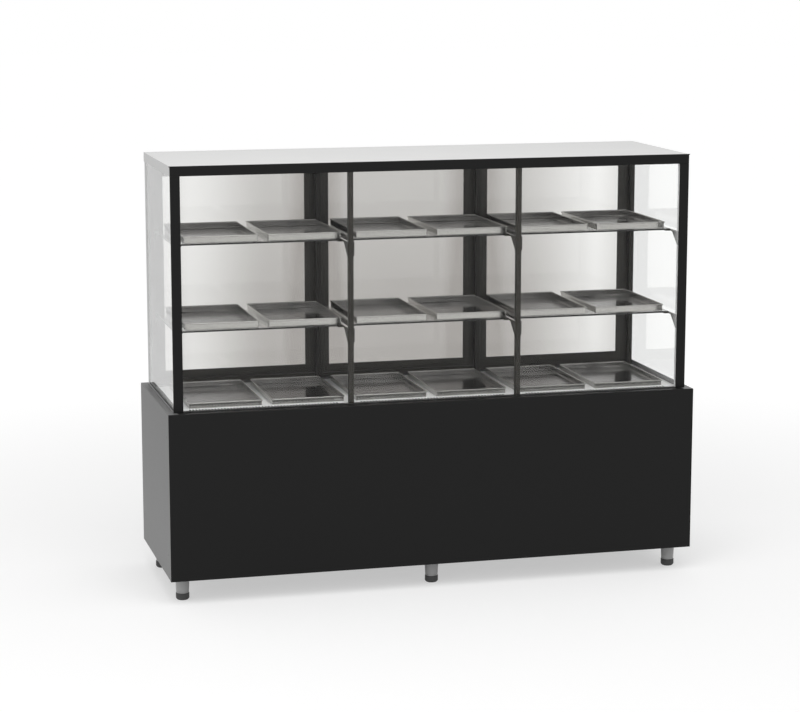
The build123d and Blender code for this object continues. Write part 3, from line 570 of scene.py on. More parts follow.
def clearGlass(name, tint, ior):
    # Float glass. A shadow ray meets a nearly clear film instead, so the lamps light what is behind it.
    material, tree, shader = newFinish(
        name, Roughness=0.0, IOR=ior, **{"Transmission Weight": 1.0, "Base Color": tint})
    film = add(tree, "ShaderNodeBsdfTransparent", Color=(0.985, 0.985, 0.985, 1))
    shadow = tree.nodes.new("ShaderNodeLightPath").outputs["Is Shadow Ray"]
    blend = tree.nodes.new("ShaderNodeMixShader")
    for socket, output in zip(blend.inputs, (shadow, shader.outputs[0], film.outputs[0])):
        tree.links.new(output, socket)
    tree.links.new(blend.outputs[0], tree.nodes["Material Output"].inputs["Surface"])
    return material


def darkEdges(material, tint, edgeTint):
    # At a shelf's edge, where faces don't look up or down, glass shows a darker green.
    tree = material.node_tree
    tree.links.new(mixed(tree, uprightFaces(tree, 0.8), tint, edgeTint),
                   tree.nodes["Principled BSDF"].inputs["Base Color"])


# The levels and reach of the rear panes' painted light and shade.
paneShade = dict(dark=(0.36, 0.343, 0.325, 1), light=(0.93, 0.93, 0.915, 1),
             plain=0.27, cloud=0.05, cloudScale=2.2, edge=0.28, edgeWide=0.2,
             left=0.55, leftFrom=-0.46, leftTo=-0.80, right=0.72, rightFrom=0.42, rightTo=0.86,
             rise=0.16, riseFrom=0.75, riseTo=1.45)


def paintPaneShade(material):
    # The rear panes' grey tint is painted light and shade: lighter towards the case's two ends and its top,
    # darker beside the stiles and in soft clouds, as painted reflections and shade. across runs from 0 to 1
    # over each pane.
    tree = material.node_tree
    point = objectPoint(tree)
    x, z = axisOf(tree, point, "X"), axisOf(tree, point, "Z")
    fromMiddle = math(tree, "ABSOLUTE", math(tree, "SUBTRACT", heldValue(tree, "across"), 0.5))
    fromEdge = math(tree, "SUBTRACT", 0.5, fromMiddle)
    cloud = noise(tree, point, paneShade["cloudScale"], 1)
    level = ramp(tree, cloud, paneShade["plain"] - paneShade["cloud"], paneShade["plain"] + paneShade["cloud"])
    for value, low, high, start, stop in (
        (x, paneShade["left"], 0.0, paneShade["leftTo"], paneShade["leftFrom"]),
        (x, 0.0, paneShade["right"], paneShade["rightFrom"], paneShade["rightTo"]),
        (z, -paneShade["rise"], paneShade["rise"] / 4, paneShade["riseFrom"], paneShade["riseTo"]),
        (fromEdge, -paneShade["edge"], 0.0, 0.0, paneShade["edgeWide"]),
    ):
        level = math(tree, "ADD", level, ramp(tree, value, low, high, start, stop, "SMOOTHSTEP"))
    tree.links.new(mixed(tree, level, paneShade["dark"], paneShade["light"]),
                   tree.nodes["Principled BSDF"].inputs["Base Color"])


paleTint = (0.985, 0.99, 0.985, 1)
frontGlass = clearGlass("frontGlass", (0.99, 0.992, 0.99, 1), ior=1.2)
sideGlass = clearGlass("sideGlass", paleTint, ior=1.3)
shelfGlass = clearGlass("shelfGlass", paleTint, ior=1.45)
darkEdges(shelfGlass, paleTint, (0.16, 0.19, 0.15, 1))
# The rear panes carry painted reflections and shade in their tint.
doorGlass = clearGlass("paintedShadeGlass", (0.9, 0.9, 0.9, 1), ior=1.3)
paintPaneShade(doorGlass)
print("finishes made")


# Base: folded sheet panels, rails and feet

sheet = dict(thickness=0.0015, bend=0.0016, edge=0.0004)
halfSheet = sheet["thickness"] / 2
ledge = solidBoxes("side_glass_channels")[1][0][0]  # where the side panels' upper ledges begin


def foldedSheet(path):
    # The outline of a sheet whose middle line is the path.
    return folded(path, sheet["thickness"], sheet["bend"])


def threeSides(low, high):
    # The middle line of a sheet that runs up a rectangle's left side, along its top and down its right side.
    left, right, top = low[0] + halfSheet, high[0] - halfSheet, high[1] - halfSheet
    return [(left, low[1]), (left, top), (right, top), (right, low[1])]


def acrossLedges(outline, low, high, edge):
    # The outline carried from end to end with two rings at each ledge, and which rings are past the ledges.
    rings = barRings(outline, low[0], high[0], "x", edge, (-ledge, -ledge, ledge, ledge))
    beyond = np.ones(len(rings), bool)
    beyond[endRings + 1:-endRings - 1] = False
    return rings, beyond


frontSheet = dict(flange=0.020, edge=0.0005, bendReach=0.003, returnFrom=0.0016, returnTo=0.003,
                  returnFront=0.0017, returnDepth=0.062, returnBottom=0.004, returnTop=0.002)


def frontPanel():
    # A sheet with a flange at its foot and a fold at its top, carried along X, and a return at either end.
    low, high = ends("base_front_panel")
    face, bottom, top = low[1] + halfSheet, low[2] + halfSheet, high[2] - halfSheet
    path = [(low[1] + frontSheet["flange"], bottom), (face, bottom), (face, top), (high[1], top)]
    outline = foldedSheet(path)
    rings, beyond = acrossLedges(outline, low, high, frontSheet["edge"])
    # Past the side panels' ledges the sheet ends just behind its top bend
    upper = outline[:, 1] > high[2] - frontSheet["bendReach"]
    cell = np.ix_(beyond, upper, [1])
    rings[cell] = np.minimum(rings[cell], low[1] + sheet["bend"] + hair)
    shapes = [stack(rings)]
    for side in (-1, 1):
        insets = frontSheet["returnTo"], frontSheet["returnFrom"]
        near, far = sorted(side * (high[0] - inset) for inset in insets)
        front, back = low[1] + frontSheet["returnFront"], low[1] + frontSheet["returnDepth"]
        bottom, top = low[2] + frontSheet["returnBottom"], high[2] - frontSheet["returnTop"]
        shapes.append(slab((near, front, bottom), (far, back, top), sheet["edge"]))
    piece("frontPanel", shapes, blackCoat, ["base_front_panel"])


sideSheet = dict(flange=0.0205, frontGap=0.0018, edge=0.0005)


def sidePanels():
    # A sheet with a flange at its foot and a ledge at its top, carried along Y.
    for name, side in (("left", -1), ("right", 1)):
        low, high = ends(f"base_side_panel_{name}")
        face = side * (max(abs(low[0]), abs(high[0])) - halfSheet)
        bottom, top = low[2] + halfSheet, high[2] - halfSheet
        path = [(face - side * sideSheet["flange"], bottom), (face, bottom), (face, top), (side * ledge, top)]
        shape = bar(foldedSheet(path), low[1] + sideSheet["frontGap"], high[1], "y", sideSheet["edge"])
        piece(f"{name}SidePanel", [shape], greyCoat, [f"base_side_panel_{name}"])


screw = dict(head=0.0040, shank=0.0020, length=0.0135, taper=0.0016, edge=0.0002, recess=0.0019, sunk=0.0014,
             sides=32)


def caseScrews():
    # Countersunk heads with a cross recess, whose outline swells and narrows four times round.
    shapes = []
    cross = screw["recess"] * (0.45 + 0.55 * np.abs(np.cos(2 * allRound(screw["sides"]))) ** 1.5)
    even = np.ones(screw["sides"])
    edge = screw["edge"]
    radii = [even * screw["shank"], even * screw["shank"], even * (screw["head"] - edge / 2),
             even * (screw["head"] - 2 * edge), cross * 1.08, cross, cross * 0.6]
    depth = np.array([screw["length"], screw["taper"], edge, 0.0, 0.0, edge, screw["sunk"]])
    for low, high in solidBoxes("case_screws"):
        side = 1 if low[0] > 0 else -1
        face = high[0] if side > 0 else low[0]
        flat = np.array(radii)[..., None] * circle(screw["sides"]) + (low + high)[1:] / 2
        shapes.append(stack(lay(flat, face - side * depth[:, None], "x"), flip=side < 0))
    piece("caseScrews", shapes, uprightCoat, ["case_screws"])


rail = dict(flange=0.026, bendReach=0.003)


def rearRail():
    # A sheet folded over a front, a top and a back, with a flange at the back's foot, carried along X.
    low, high = ends("base_rear_rail")
    front, back, top = low[1] + halfSheet, high[1] - halfSheet, high[2] - halfSheet
    bottom = low[2] + halfSheet
    outline = foldedSheet([(front, low[2]), (front, top), (back, top), (back, bottom),
                           (high[1] - rail["flange"], bottom)])
    rings, beyond = acrossLedges(outline, low, high, sheet["edge"])
    # Under the side panels' ledges only the back of the rail goes on
    upper = outline[:, 1] > low[2] + rail["bendReach"]
    cell = np.ix_(beyond, upper, [1])
    rings[cell] = np.maximum(rings[cell], high[1] - sheet["thickness"] - hair)
    cell = np.ix_(beyond, upper, [2])
    rings[cell] = np.minimum(rings[cell], high[2] - sheet["thickness"] - 2 * hair)
    piece("rearRail", [stack(rings)], greyCoat, ["base_rear_rail"])


def rearStile():
    # A sheet folded round three sides, carried up.
    low, high = ends("base_rear_stile")
    shape = bar(foldedSheet(threeSides(low, high)), low[2], high[2], "z", sheet["edge"])
    piece("rearStile", [shape], greyCoat, ["base_rear_stile"])


flangeLap = dict(power_inlet=(0.0058, 0.0018), switch_housing=(0.003, 0.003))  # over each cut-out, in X and Z


def controlPanel():
    # The stile's fold again, with a cut-out behind each flange. Its line has points at their sides, and its
    # levels are at their ends, so each cut-out is a run of cells left out.
    low, high = ends("control_panel")
    cuts = []
    for node, lap in flangeLap.items():
        near, far = ends(node)
        cuts.append((near[[0, 2]] + lap, far[[0, 2]] - lap))
    face = high[1] - halfSheet
    line = bentLine(threeSides(low, high)[::-1], sheet["bend"], steps=4)
    marks = sorted({round(float(corner[0]), 5) for cut in cuts for corner in cut}, reverse=True)
    half = len(line) // 2
    line = np.concatenate([line[:half], [(x, face) for x in marks], line[half:]])
    levels = np.array([low[2]] + [corner[1] for cut in cuts for corner in cut] + [high[2]])
    solid = np.ones((len(levels) - 1, len(line) - 1), bool)
    centreX = (line[1:, 0] + line[:-1, 0]) / 2
    onFace = np.abs(line[:-1, 1] - face) < halfSheet / 2
    for row, (near, far) in zip((1, 3), cuts):
        solid[row] = ~(onFace & (centreX > near[0]) & (centreX < far[0]))
    step = leftwards(line) * halfSheet
    outer, inner = (lay(np.repeat(skin[None], len(levels), 0), levels[:, None], "z")
                    for skin in (line - step, line + step))
    piece("controlPanel", [windowed(outer, inner, solid)], greyCoat, ["control_panel"])


sleeve = dict(taper=0.003, bore=0.0125, boreDepth=0.02, chamfer=0.0008, groove=0.0008, neck=0.0050, sides=48)


def footSleeves():
    # A profile carried round: down the bore, under the end, up the tapered side past its groove, over the
    # collar under the base and up the neck inside it.
    shapes = []
    top = ends("base_front_panel")[0][2] + sheet["thickness"]
    bore, cut, groove, neck = (sleeve[part] for part in ("bore", "chamfer", "groove", "neck"))
    for low, high in solidBoxes("foot_sleeves"):
        bottom, wide = low[2], (high[0] - low[0]) / 2
        narrow = wide - sleeve["taper"]
        profile = [(bore, bottom + sleeve["boreDepth"]), (bore, bottom + cut), (bore + cut, bottom)]
        profile += [(narrow - cut, bottom), (narrow, bottom + cut), (narrow + 0.0002, bottom + 0.004),
                    (narrow - groove, bottom + 0.0048), (narrow - groove, bottom + 0.0056),
                    (narrow + 0.0003, bottom + 0.0064)]
        profile += [(wide - 0.0004, top - 0.0052), (wide, top - 0.004), (wide, top - 0.0004),
                    (wide - 0.0004, top - hair), (0.012, top)]
        profile += [(neck, top), (neck, high[2] - 0.0006), (neck - 0.0006, high[2])]
        shapes.append(turned(profile, (low + high) / 2, sleeve["sides"]))
    piece("footSleeves", shapes, sleevePlastic, ["foot_sleeves"], crease=42)


nut = dict(bore=0.0052, chamfer=0.0009, sides=48)


def footNuts():
    # A hexagon, whose reach at an angle is its half width over the cosine of the angle from the nearest flat.
    # Its corners are cut back by the chamfer's circle at both ends.
    shapes, chamfer = [], nut["chamfer"]
    for low, high in solidBoxes("foot_nuts"):
        size = (high - low)[:2] / 2
        across, turn = size.min(), (np.pi / 6 if size[1] < size[0] else 0)
        hexagon = across / np.cos((allRound(nut["sides"]) + turn) % (np.pi / 3) - np.pi / 6)
        bore = np.full(nut["sides"], nut["bore"])
        face, flats = np.minimum(hexagon, across * 1.01), np.minimum(hexagon, across * 1.155)
        flat = np.array([bore, face, flats, flats, face, bore])[..., None] * circle(nut["sides"])
        levels = np.array([low[2], low[2], low[2] + chamfer, high[2] - chamfer, high[2], high[2]])
        shapes.append(stack(lay(flat + ((low + high) / 2)[:2], levels[:, None], "z"), loop=True))
    piece("footNuts", shapes, zincFinish, ["foot_nuts"])


tip = dict(height=0.0240, screw=0.0120, fluteFrom=0.0084, fluteTo=0.0200, flutes=0.0011, sides=96)


def footTips():
    # Up from the pad, past the fluted grip, over the top and up the screw.
    screwRadius, height = tip["screw"], tip["height"]
    for name in ("front_left", "front_middle", "front_right", "rear_left", "rear_middle", "rear_right"):
        low, high = ends(f"foot_tip_{name}")
        wide = (high[0] - low[0]) / 2
        profile = [(wide - 0.0052, 0.0), (wide - 0.0044, 0.0004), (wide - 0.0006, 0.0046), (wide, 0.0062),
                   (wide, 0.0072), (wide, tip["fluteFrom"]), (wide, tip["fluteTo"]), (wide, 0.0212),
                   (wide, 0.0226), (wide - 0.0012, height), (screwRadius + 0.0006, height),
                   (screwRadius, height + 0.0006), (screwRadius, high[2] - 0.0010),
                   (screwRadius - 0.0008, high[2])]
        flutes = np.zeros(len(profile))
        flutes[5:7] = tip["flutes"]
        piece(f"footTip_{name}", [turned(profile, (low + high) / 2, tip["sides"], flutes)], tipPlastic,
              [f"foot_tip_{name}"], f"foot_tip_{name}", crease=42)


trackRound = 0.0004  # radius of the corners of every track


def trackPiece(name, node, fin, depth, count, hangs):
    # A bar with grooves cut into its top, or into its bottom where it hangs. The grooves share its width,
    # with half a fin at either side of each.
    low, high = ends(node)
    pitch = (high[1] - low[1]) / count
    rim, floor, other = (low[2], low[2] + depth, high[2]) if hangs else (high[2], high[2] - depth, low[2])
    corners = [(low[1], rim)]
    for i in range(count):
        near, far = low[1] + pitch * i + fin / 2, low[1] + pitch * (i + 1) - fin / 2
        corners += [(near, rim), (near, floor), (far, floor), (far, rim)]
    corners += [(high[1], rim), (high[1], other), (low[1], other)]
    shape = bar(rounded(corners, trackRound, 3), low[0], high[0], "x")
    piece(name, [shape], profileFinish, [node])


storageTrack = dict(fin=0.003, bottomDepth=0.008, topDepth=0.012, grooves=2)


def storageTracks():
    # One groove for each storage door, deeper at the top so that a door can be lifted out.
    fin, grooves = storageTrack["fin"], storageTrack["grooves"]
    trackPiece("storageTrackBottom", "storage_track_bottom", fin, storageTrack["bottomDepth"], grooves, False)
    trackPiece("storageTrackTop", "storage_track_top", fin, storageTrack["topDepth"], grooves, True)


# rayTurn keeps the rays off the upright and level directions, in radians
storageDoor = dict(sheet=0.0012, slotWidth=0.026, slotHeight=0.096, slotEdge=0.046, edge=0.0009, rays=72,
                   rayTurn=0.01)


def doorRing(way, centre, low, high, inset):
    # Where rays from the slot's centre meet the door's outline drawn in by the inset.
    reach = np.where(way > 0, high - inset - centre, centre - low - inset)
    return centre + way * (reach / np.abs(way)).min(1, keepdims=True)


def slotRing(way, centre, grow):
    # Where the same rays meet the slot, a circle carried up and down between the centres of its ends: on its
    # straight sides at the radius over the ray's share of X, and else on the circle about an end's centre.
    radius = storageDoor["slotWidth"] / 2 + grow
    rise = (storageDoor["slotHeight"] - storageDoor["slotWidth"]) / 2
    up = np.abs(way[:, 1])
    straight = radius / np.abs(way[:, 0]).clip(1e-9)
    end = rise * up + np.sqrt((radius ** 2 - (rise * way[:, 0]) ** 2).clip(0))
    return centre + way * np.where(straight * up > rise, end, straight)[:, None]


def storageDoors():
    # Rings run from the slot over the inside, round the folded edge, over the outside and back through.
    wall, edge = storageDoor["sheet"], storageDoor["edge"]
    for name in ("left", "right"):
        body = f"storage_door_{name}"
        low, high = ends(body)
        front, face = low[1], high[1]
        slotX = low[0] + storageDoor["slotEdge"] if name == "left" else high[0] - storageDoor["slotEdge"]
        centre = np.array([slotX, (low[2] + high[2]) / 2])
        low, high = low[[0, 2]], high[[0, 2]]
        corners = np.array(boxCorners(low, high)) - centre
        toCorners = np.arctan2(corners[:, 1], corners[:, 0]) % (2 * np.pi)
        even = allRound(storageDoor["rays"]) + storageDoor["rayTurn"]
        angle = np.sort(np.concatenate([even, toCorners]))
        way = np.stack([np.cos(angle), np.sin(angle)], 1)
        rings = [(slotRing(way, centre, 0), face - wall)]
        for inset, depth in ((wall + 0.0003, face - wall), (wall, face - wall - 0.0003), (wall, front),
                             (hair, front), (0, front + 0.0002), (0, face - edge),
                             (edge * 0.3, face - edge * 0.3), (edge, face)):
            rings.append((doorRing(way, centre, low, high, inset), depth))
        rings += [(slotRing(way, centre, 0.0006), face), (slotRing(way, centre, hair), face - 0.0002)]
        piece(f"{name}StorageDoor", [closedRings(rings)], greyCoat, [body], body)


frontPanel()
sidePanels()
caseScrews()
rearRail()
rearStile()
controlPanel()
footSleeves()
footNuts()
footTips()
storageTracks()
storageDoors()
print("base made")


# Deck with its vent strips, and the trays

vent = dict(pitch=0.011, slot=0.0055, length=0.038, endMargin=0.022)


def ventStrips():
    # A grid of cells over each strip. In its middle row every second cell is a slot, and is left out.
    shapes = []
    for low, high in solidBoxes("deck_vent_grilles"):
        middle = (low + high) / 2
        count = int((high[0] - low[0] - 2 * vent["endMargin"]) / vent["pitch"])
        slotX = middle[0] + (np.arange(count) - (count - 1) / 2) * vent["pitch"]
        slotSides = slotX[:, None] + np.array([-1, 1]) * vent["slot"] / 2
        x = np.concatenate([[low[0]], slotSides.ravel(), [high[0]]])
        y = np.array([low[1], middle[1] - vent["length"] / 2, middle[1] + vent["length"] / 2, high[1]])
        solid = np.ones((3, len(x) - 1), bool)
        solid[1, 1::2] = False
        flat = np.stack(np.broadcast_arrays(x[None], y[:, None]), -1)
        shapes.append(windowed(lay(flat, high[2], "z"), lay(flat, low[2], "z"), solid))
    piece("ventStrips", shapes, deckCoat, ["deck_vent_grilles"])


# How much painted shade a tray has at each ring from the rim's inner edge down to the middle of its floor;
# the low value in the cove is a painted highlight
tray = dict(rim=0.003, rimHeight=0.0046, wall=0.0012, corner=0.004, foot=0.0022, cove=0.0025,
            paintedInsideShade=(0.1, 0.55, 0.55, 0.3, 0.0, 0.5, 1.0))


def trays():
    # A rounded rectangle drawn in or out while it climbs: under the tray, up its side, over the rolled rim,
    # down the inside and along the floor. The foot and the cove are quarter circles, the rim a half circle.
    quarter, roll = np.linspace(0, np.pi / 2, 5), np.linspace(0, np.pi, 9)[1:]
    out, under, wall, cove = (tray[part] for part in ("rim", "foot", "wall", "cove"))
    roller = tray["rimHeight"] / 2
    for name in ("deck", "middle", "upper"):
        shapes, inside = [], []
        for low, high in solidBoxes(f"trays_{name}"):
            height = high[2] - low[2]
            neck = height - 2 * roller
            offsets = np.concatenate([
                -under * (1 - np.sin(quarter)), [0.0, out - roller * 0.4, out],
                out / 2 - wall / 2 + (out / 2 + wall / 2) * np.cos(roll), [-wall, -wall],
                -wall - cove * (1 - np.cos(quarter))])
            levels = np.concatenate([
                under * (1 - np.cos(quarter)), [neck - 0.0004, neck, height - roller * 1.5],
                height - roller + roller * np.sin(roll), [neck, neck - 0.001],
                wall + cove * (1 - np.sin(quarter))])
            shade = np.zeros(len(levels))
            shade[-len(tray["paintedInsideShade"]):] = tray["paintedInsideShade"]
            outline = oblong(low[:2] + out, high[:2] - out, tray["corner"], 7)
            flat = outline[None] + offsets[:, None, None] * outwards(outline)[None]
            shapes.append(stack(lay(flat, low[2] + levels[:, None], "z")))
            inside.append(np.repeat(shade, len(outline)))
        piece(f"{name}Trays", shapes, trayFinish, [f"trays_{name}"], crease=50,
              values=dict(inside=np.concatenate(inside)))


ventStrips()
trays()
print("deck and trays made")


# Glass case: header, posts, gasket, panes, channels and cover

glass = dict(edge=0.0006, corner=0.003)
band = dict(lap=0.003, corner=0.0010, edge=0.0008, postGap=0.0002)
gasket = dict(proud=0.0003, corner=0.0012, edge=0.0003)


def frontFrame():
    # The header's top layer reaches over the corner bands, so its last rings are wider.
    low, high = ends("front_header")
    wide, lapFrom = high[0] - band["lap"], high[2] - band["lap"]
    outline = oblong((-wide, low[1]), (wide, high[1]), band["corner"])
    rings = barRings(outline, low[2], high[2], "z", band["edge"], (lapFrom, lapFrom))
    rings[endRings + 1:, :, 0] += np.sign(rings[endRings + 1:, :, 0]) * band["lap"]
    piece("headerBand", [stack(rings)], trimCoat, ["front_header"])
    gap = np.array([0, 0, band["postGap"]])
    posts = [slab(low, high - gap, band["edge"]) for low, high in solidBoxes("front_posts")]
    piece("cornerBands", posts, trimCoat, ["front_posts"])
    low, high = ends("front_glass_gasket")
    high[2] += gasket["proud"]
    strip = slab(low, high, gasket["edge"], "x", gasket["corner"])
    piece("frontGasket", [strip], rubber, ["front_glass_gasket"])
    low, high = ends("front_glass")
    pane = slab(low, high, glass["edge"], "y", glass["corner"])
    piece("frontPane", [pane], frontGlass, ["front_glass"])


channel = dict(floor=0.004, wall=0.0015, inner=0.014, outer=0.007, gap=0.0003, round=0.0004)
bead = dict(near=0.0001, far=0.0019, bottom=0.0071, top=0.0092, round=0.0007, short=0.0006)


def sideFrames():
    # Each pane stands in a channel that is low outside and high inside, with a rubber bead on the low
    # wall. Both outlines are carried along Y.
    for name in ("left", "right"):
        low, high = ends(f"side_glass_{name}")
        pane = slab(low, high, glass["edge"], "x", glass["corner"])
        piece(f"{name}SidePane", [pane], sideGlass, [f"side_glass_{name}"])
    channels, beads = [], []
    for (low, high), name in zip(solidBoxes("side_glass_channels"), ("left", "right")):
        side = 1 if low[0] > 0 else -1
        inner, outer = (low[0], high[0]) if side > 0 else (high[0], low[0])
        paneLow, paneHigh = ends(f"side_glass_{name}")
        lip = (paneLow[0] if side > 0 else paneHigh[0]) - side * channel["gap"]
        wall, bottom = side * channel["wall"], low[2]
        floor, innerTop, outerTop = (bottom + channel[part] for part in ("floor", "inner", "outer"))
        corners = [(inner, bottom), (outer, bottom), (outer, outerTop), (outer - wall, outerTop),
                   (outer - wall, floor), (lip, floor), (lip, innerTop), (lip - wall, innerTop),
                   (lip - wall, floor), (inner, floor)]
        channels.append(bar(rounded(corners, channel["round"], 3), low[1], high[1], "y"))
        near, far = sorted((outer - side * bead["near"], outer - side * bead["far"]))
        outline = oblong((near, bottom + bead["bottom"]), (far, bottom + bead["top"]), bead["round"], 3)
        beads.append(bar(outline, low[1] + bead["short"], high[1] - bead["short"], "y"))
    piece("sideChannels", channels, channelFinish, ["side_glass_channels"])
    piece("glazingBeads", beads, rubber)


cover = dict(backSides=0.0018, backInset=0.0016)


def topCover():
    # A sheet folded down at both sides, and a flat back between them.
    low, high = ends("top_cover")
    sides, inset = cover["backSides"], cover["backInset"]
    outline = foldedSheet(threeSides(low[[0, 2]], high[[0, 2]]))
    folds = bar(outline, low[1], high[1], "y", sheet["edge"])
    back = slab((low[0] + sides, high[1] - inset, low[2]), (high[0] - sides, high[1] - hair, high[2] - inset),
                sheet["edge"], "y")
    piece("coverSheet", [folds, back], coverCoat, ["top_cover"])


upright = dict(wall=0.0018, corner=0.0022, innerCorner=0.0006, firstSlot=0.050, pitch=0.050, slots=14,
               slotHeight=0.014, slotDepth=0.005)


def slottedPosts():
    # A ring of points round the post, with two more at each side wall for the slots, carried up through the
    # levels at which slots begin and end. The cells at the slots are left out.
    deckTop, reach = ends("front_mullions")[0][2], upright["slotDepth"] / 2
    first = deckTop + upright["firstSlot"] + np.arange(upright["slots"]) * upright["pitch"]
    slotEnds = np.stack([first, first + upright["slotHeight"]], 1).ravel()
    for node, name, finish, slot in (("front_mullions", "frontMullions", uprightCoat, "dark_upright"),
                                     ("corner_standards", "cornerStandards", paleStandard, "steel_channel"),
                                     ("rear_uprights", "rearUprights", uprightCoat, "dark_upright")):
        shapes = []
        for low, high in solidBoxes(node):
            middle, size = (low + high)[:2] / 2, (high - low)[:2] / 2
            levels = np.concatenate([[low[2]], slotEnds, [high[2]]])
            skins = []
            for inset in (0, upright["wall"]):
                radius = max(upright["corner"] - inset, upright["innerCorner"])
                outline = oblong(inset - size, size - inset, radius, 4)
                right = np.array([(size[0] - inset, -reach), (size[0] - inset, reach)])
                ring = np.concatenate([right, outline[8:], -right, outline[:8]]) + middle
                skins.append(lay(np.repeat(ring[None], len(levels), 0), levels[:, None], "z"))
            solid = np.ones((len(levels) - 1, len(ring)), bool)
            solid[1::2, [0, len(ring) // 2]] = False
            shapes.append(windowed(skins[0], skins[1], solid))
        piece(name, shapes, finish, [node])


frontFrame()
sideFrames()
topCover()
slottedPosts()
print("case frame made")


# Shelves

bracket = dict(drop=0.042, tip=0.009, reach=0.038, sink=0.001, postDepth=0.020, postInset=0.001, web=0.003,
               flange=0.017, flangeThickness=0.002, stop=0.006, stopThickness=0.0035, stopGap=0.0003,
               lug=0.0012, lugFrom=0.018, lugTo=0.006, lugHalf=0.0015, hook=0.004, endReach=0.03,
               corners=(0.001, 0.001, 0.0015, 0.004, 0.004, 0.0015, 0.001, 0.001))


def bracketOutline(top, under):
    # A web that hangs low at both posts and rises to the shelf's underside between them, seen from the side.
    frontFace, (rearLow, rearHigh) = ends("front_mullions")[0][1], ends("rear_uprights")
    front, rear = frontFace + bracket["postInset"], rearHigh[1] - bracket["postInset"]
    drop, tip, reach = under - bracket["drop"], bracket["tip"], bracket["reach"]
    corners = [(front, top), (front, drop), (front + tip, drop),
               (frontFace + bracket["postDepth"] + reach, under), (rearLow[1] - reach, under),
               (rear - tip, drop), (rear, drop), (rear, top)]
    return rounded(corners, bracket["corners"], 4)


def bracketShapes(outline, outer, inward, shelf, under):
    # The web, the flange that points into the bay, its front stop, and the two lugs in the posts' slots.
    web, thick, front, rear = bracket["web"], bracket["flangeThickness"], shelf[0][1], shelf[1][1]
    near, far = sorted((outer, outer + inward * web))
    shapes = [bar(outline, near, far, "x", 0.0007)]
    near, far = sorted((outer + inward * (web - 0.0004), outer + inward * (web + bracket["flange"])))
    stopFront = front - bracket["stopThickness"]
    shapes.append(slab((near, stopFront, under), (far, rear, under + thick - hair), 0.0006, "y"))
    shapes.append(slab((near, stopFront, under),
                       (far, front - bracket["stopGap"], under + thick + bracket["stop"]), 0.0008, "x"))
    near, far = sorted((outer + inward * 0.0004, outer - inward * bracket["lug"]))
    low, high, half = shelf[1][2] - bracket["lugFrom"], shelf[1][2] - bracket["lugTo"], bracket["lugHalf"]
    for node in ("front_mullions", "rear_uprights"):
        middle = ends(node)[0][1] + bracket["postDepth"] / 2
        shapes.append(slab((near, middle - half, low), (far, middle + half, high), 0.0004, "x"))
    return shapes


def shelves():
    # On each level, panes with rounded edges and a bracket under either end of each.
    endFrom = ends("corner_standards")[1][0] - bracket["endReach"]
    hookEnd = ends("front_mullions")[1][1] + bracket["hook"]
    for name in ("lower", "upper"):
        panes = solidBoxes(f"{name}_shelf_glass")
        piece(f"{name}ShelfPanes", [slab(low, high, 0.0012, "z", glass["corner"]) for low, high in panes],
              shelfGlass, [f"{name}_shelf_glass"])
        shelf = panes[0]
        under = shelf[0][2] - bracket["flangeThickness"]
        outline = bracketOutline(shelf[1][2] - bracket["sink"], under)
        shapes, hookLight = [], []
        for low, high in solidBoxes(f"{name}_shelf_brackets"):
            # The web is on the side of the bay's end, and the flange points into the bay
            centreX = (low[0] + high[0]) / 2
            paneX = min(((pane[0][0] + pane[1][0]) / 2 for pane in panes), key=lambda x: abs(x - centreX))
            inward = 1 if paneX > centreX else -1
            outer = low[0] + bracket["lug"] if inward > 0 else high[0] - bracket["lug"]
            own = bracketShapes(outline, outer, inward, shelf, under)
            shapes += own
            # The hooks of the two end brackets, beside the side panes, are painted pale: a painted highlight.
            atEnd = abs(outer) > endFrom
            hookLight += [(shape[0][:, 1] < hookEnd) * atEnd for shape in own]
        piece(f"{name}Brackets", shapes, bracketCoat, [f"{name}_shelf_brackets"],
              values=dict(hookLight=np.concatenate(hookLight)))


shelves()
print("shelves made")


# Rear posts, tracks and sliding doors

doorTrack = dict(fin=0.004, bottomDepth=0.010, topDepth=0.014, grooves=3)
rearPost = dict(corner=0.0015, wall=0.002, stripDepth=0.001)


def rearFrame():
    # Hollow posts carried up, and the two tracks between them with a groove for each door.
    posts = [tube(oblong(low[:2], high[:2], rearPost["corner"]), rearPost["wall"], low[2], high[2])
             for low, high in solidBoxes("rear_posts")]
    # The thin skin at each post's outer side is painted pale: a painted sheen.
    strip = ends("rear_posts")[1][0] - rearPost["stripDepth"]
    outerSide = np.concatenate([np.abs(post[0][:, 0]) > strip for post in posts])
    piece("rearPosts", posts, postFinish, ["rear_posts"], values=dict(outerSide=outerSide))
    fin, grooves = doorTrack["fin"], doorTrack["grooves"]
    trackPiece("doorTrackBottom", "rear_track_bottom", fin, doorTrack["bottomDepth"], grooves, False)
    trackPiece("doorTrackTop", "rear_track_top", fin, doorTrack["topDepth"], grooves, True)


door = dict(stile=0.046, rail=0.028, bite=0.008, groove=0.020, grooveDepth=0.0055, grooveEdge=0.010,
            tongue=0.006, pane=0.004, gap=0.0003, line=0.028, lineWide=0.0024, lineDeep=0.0012)


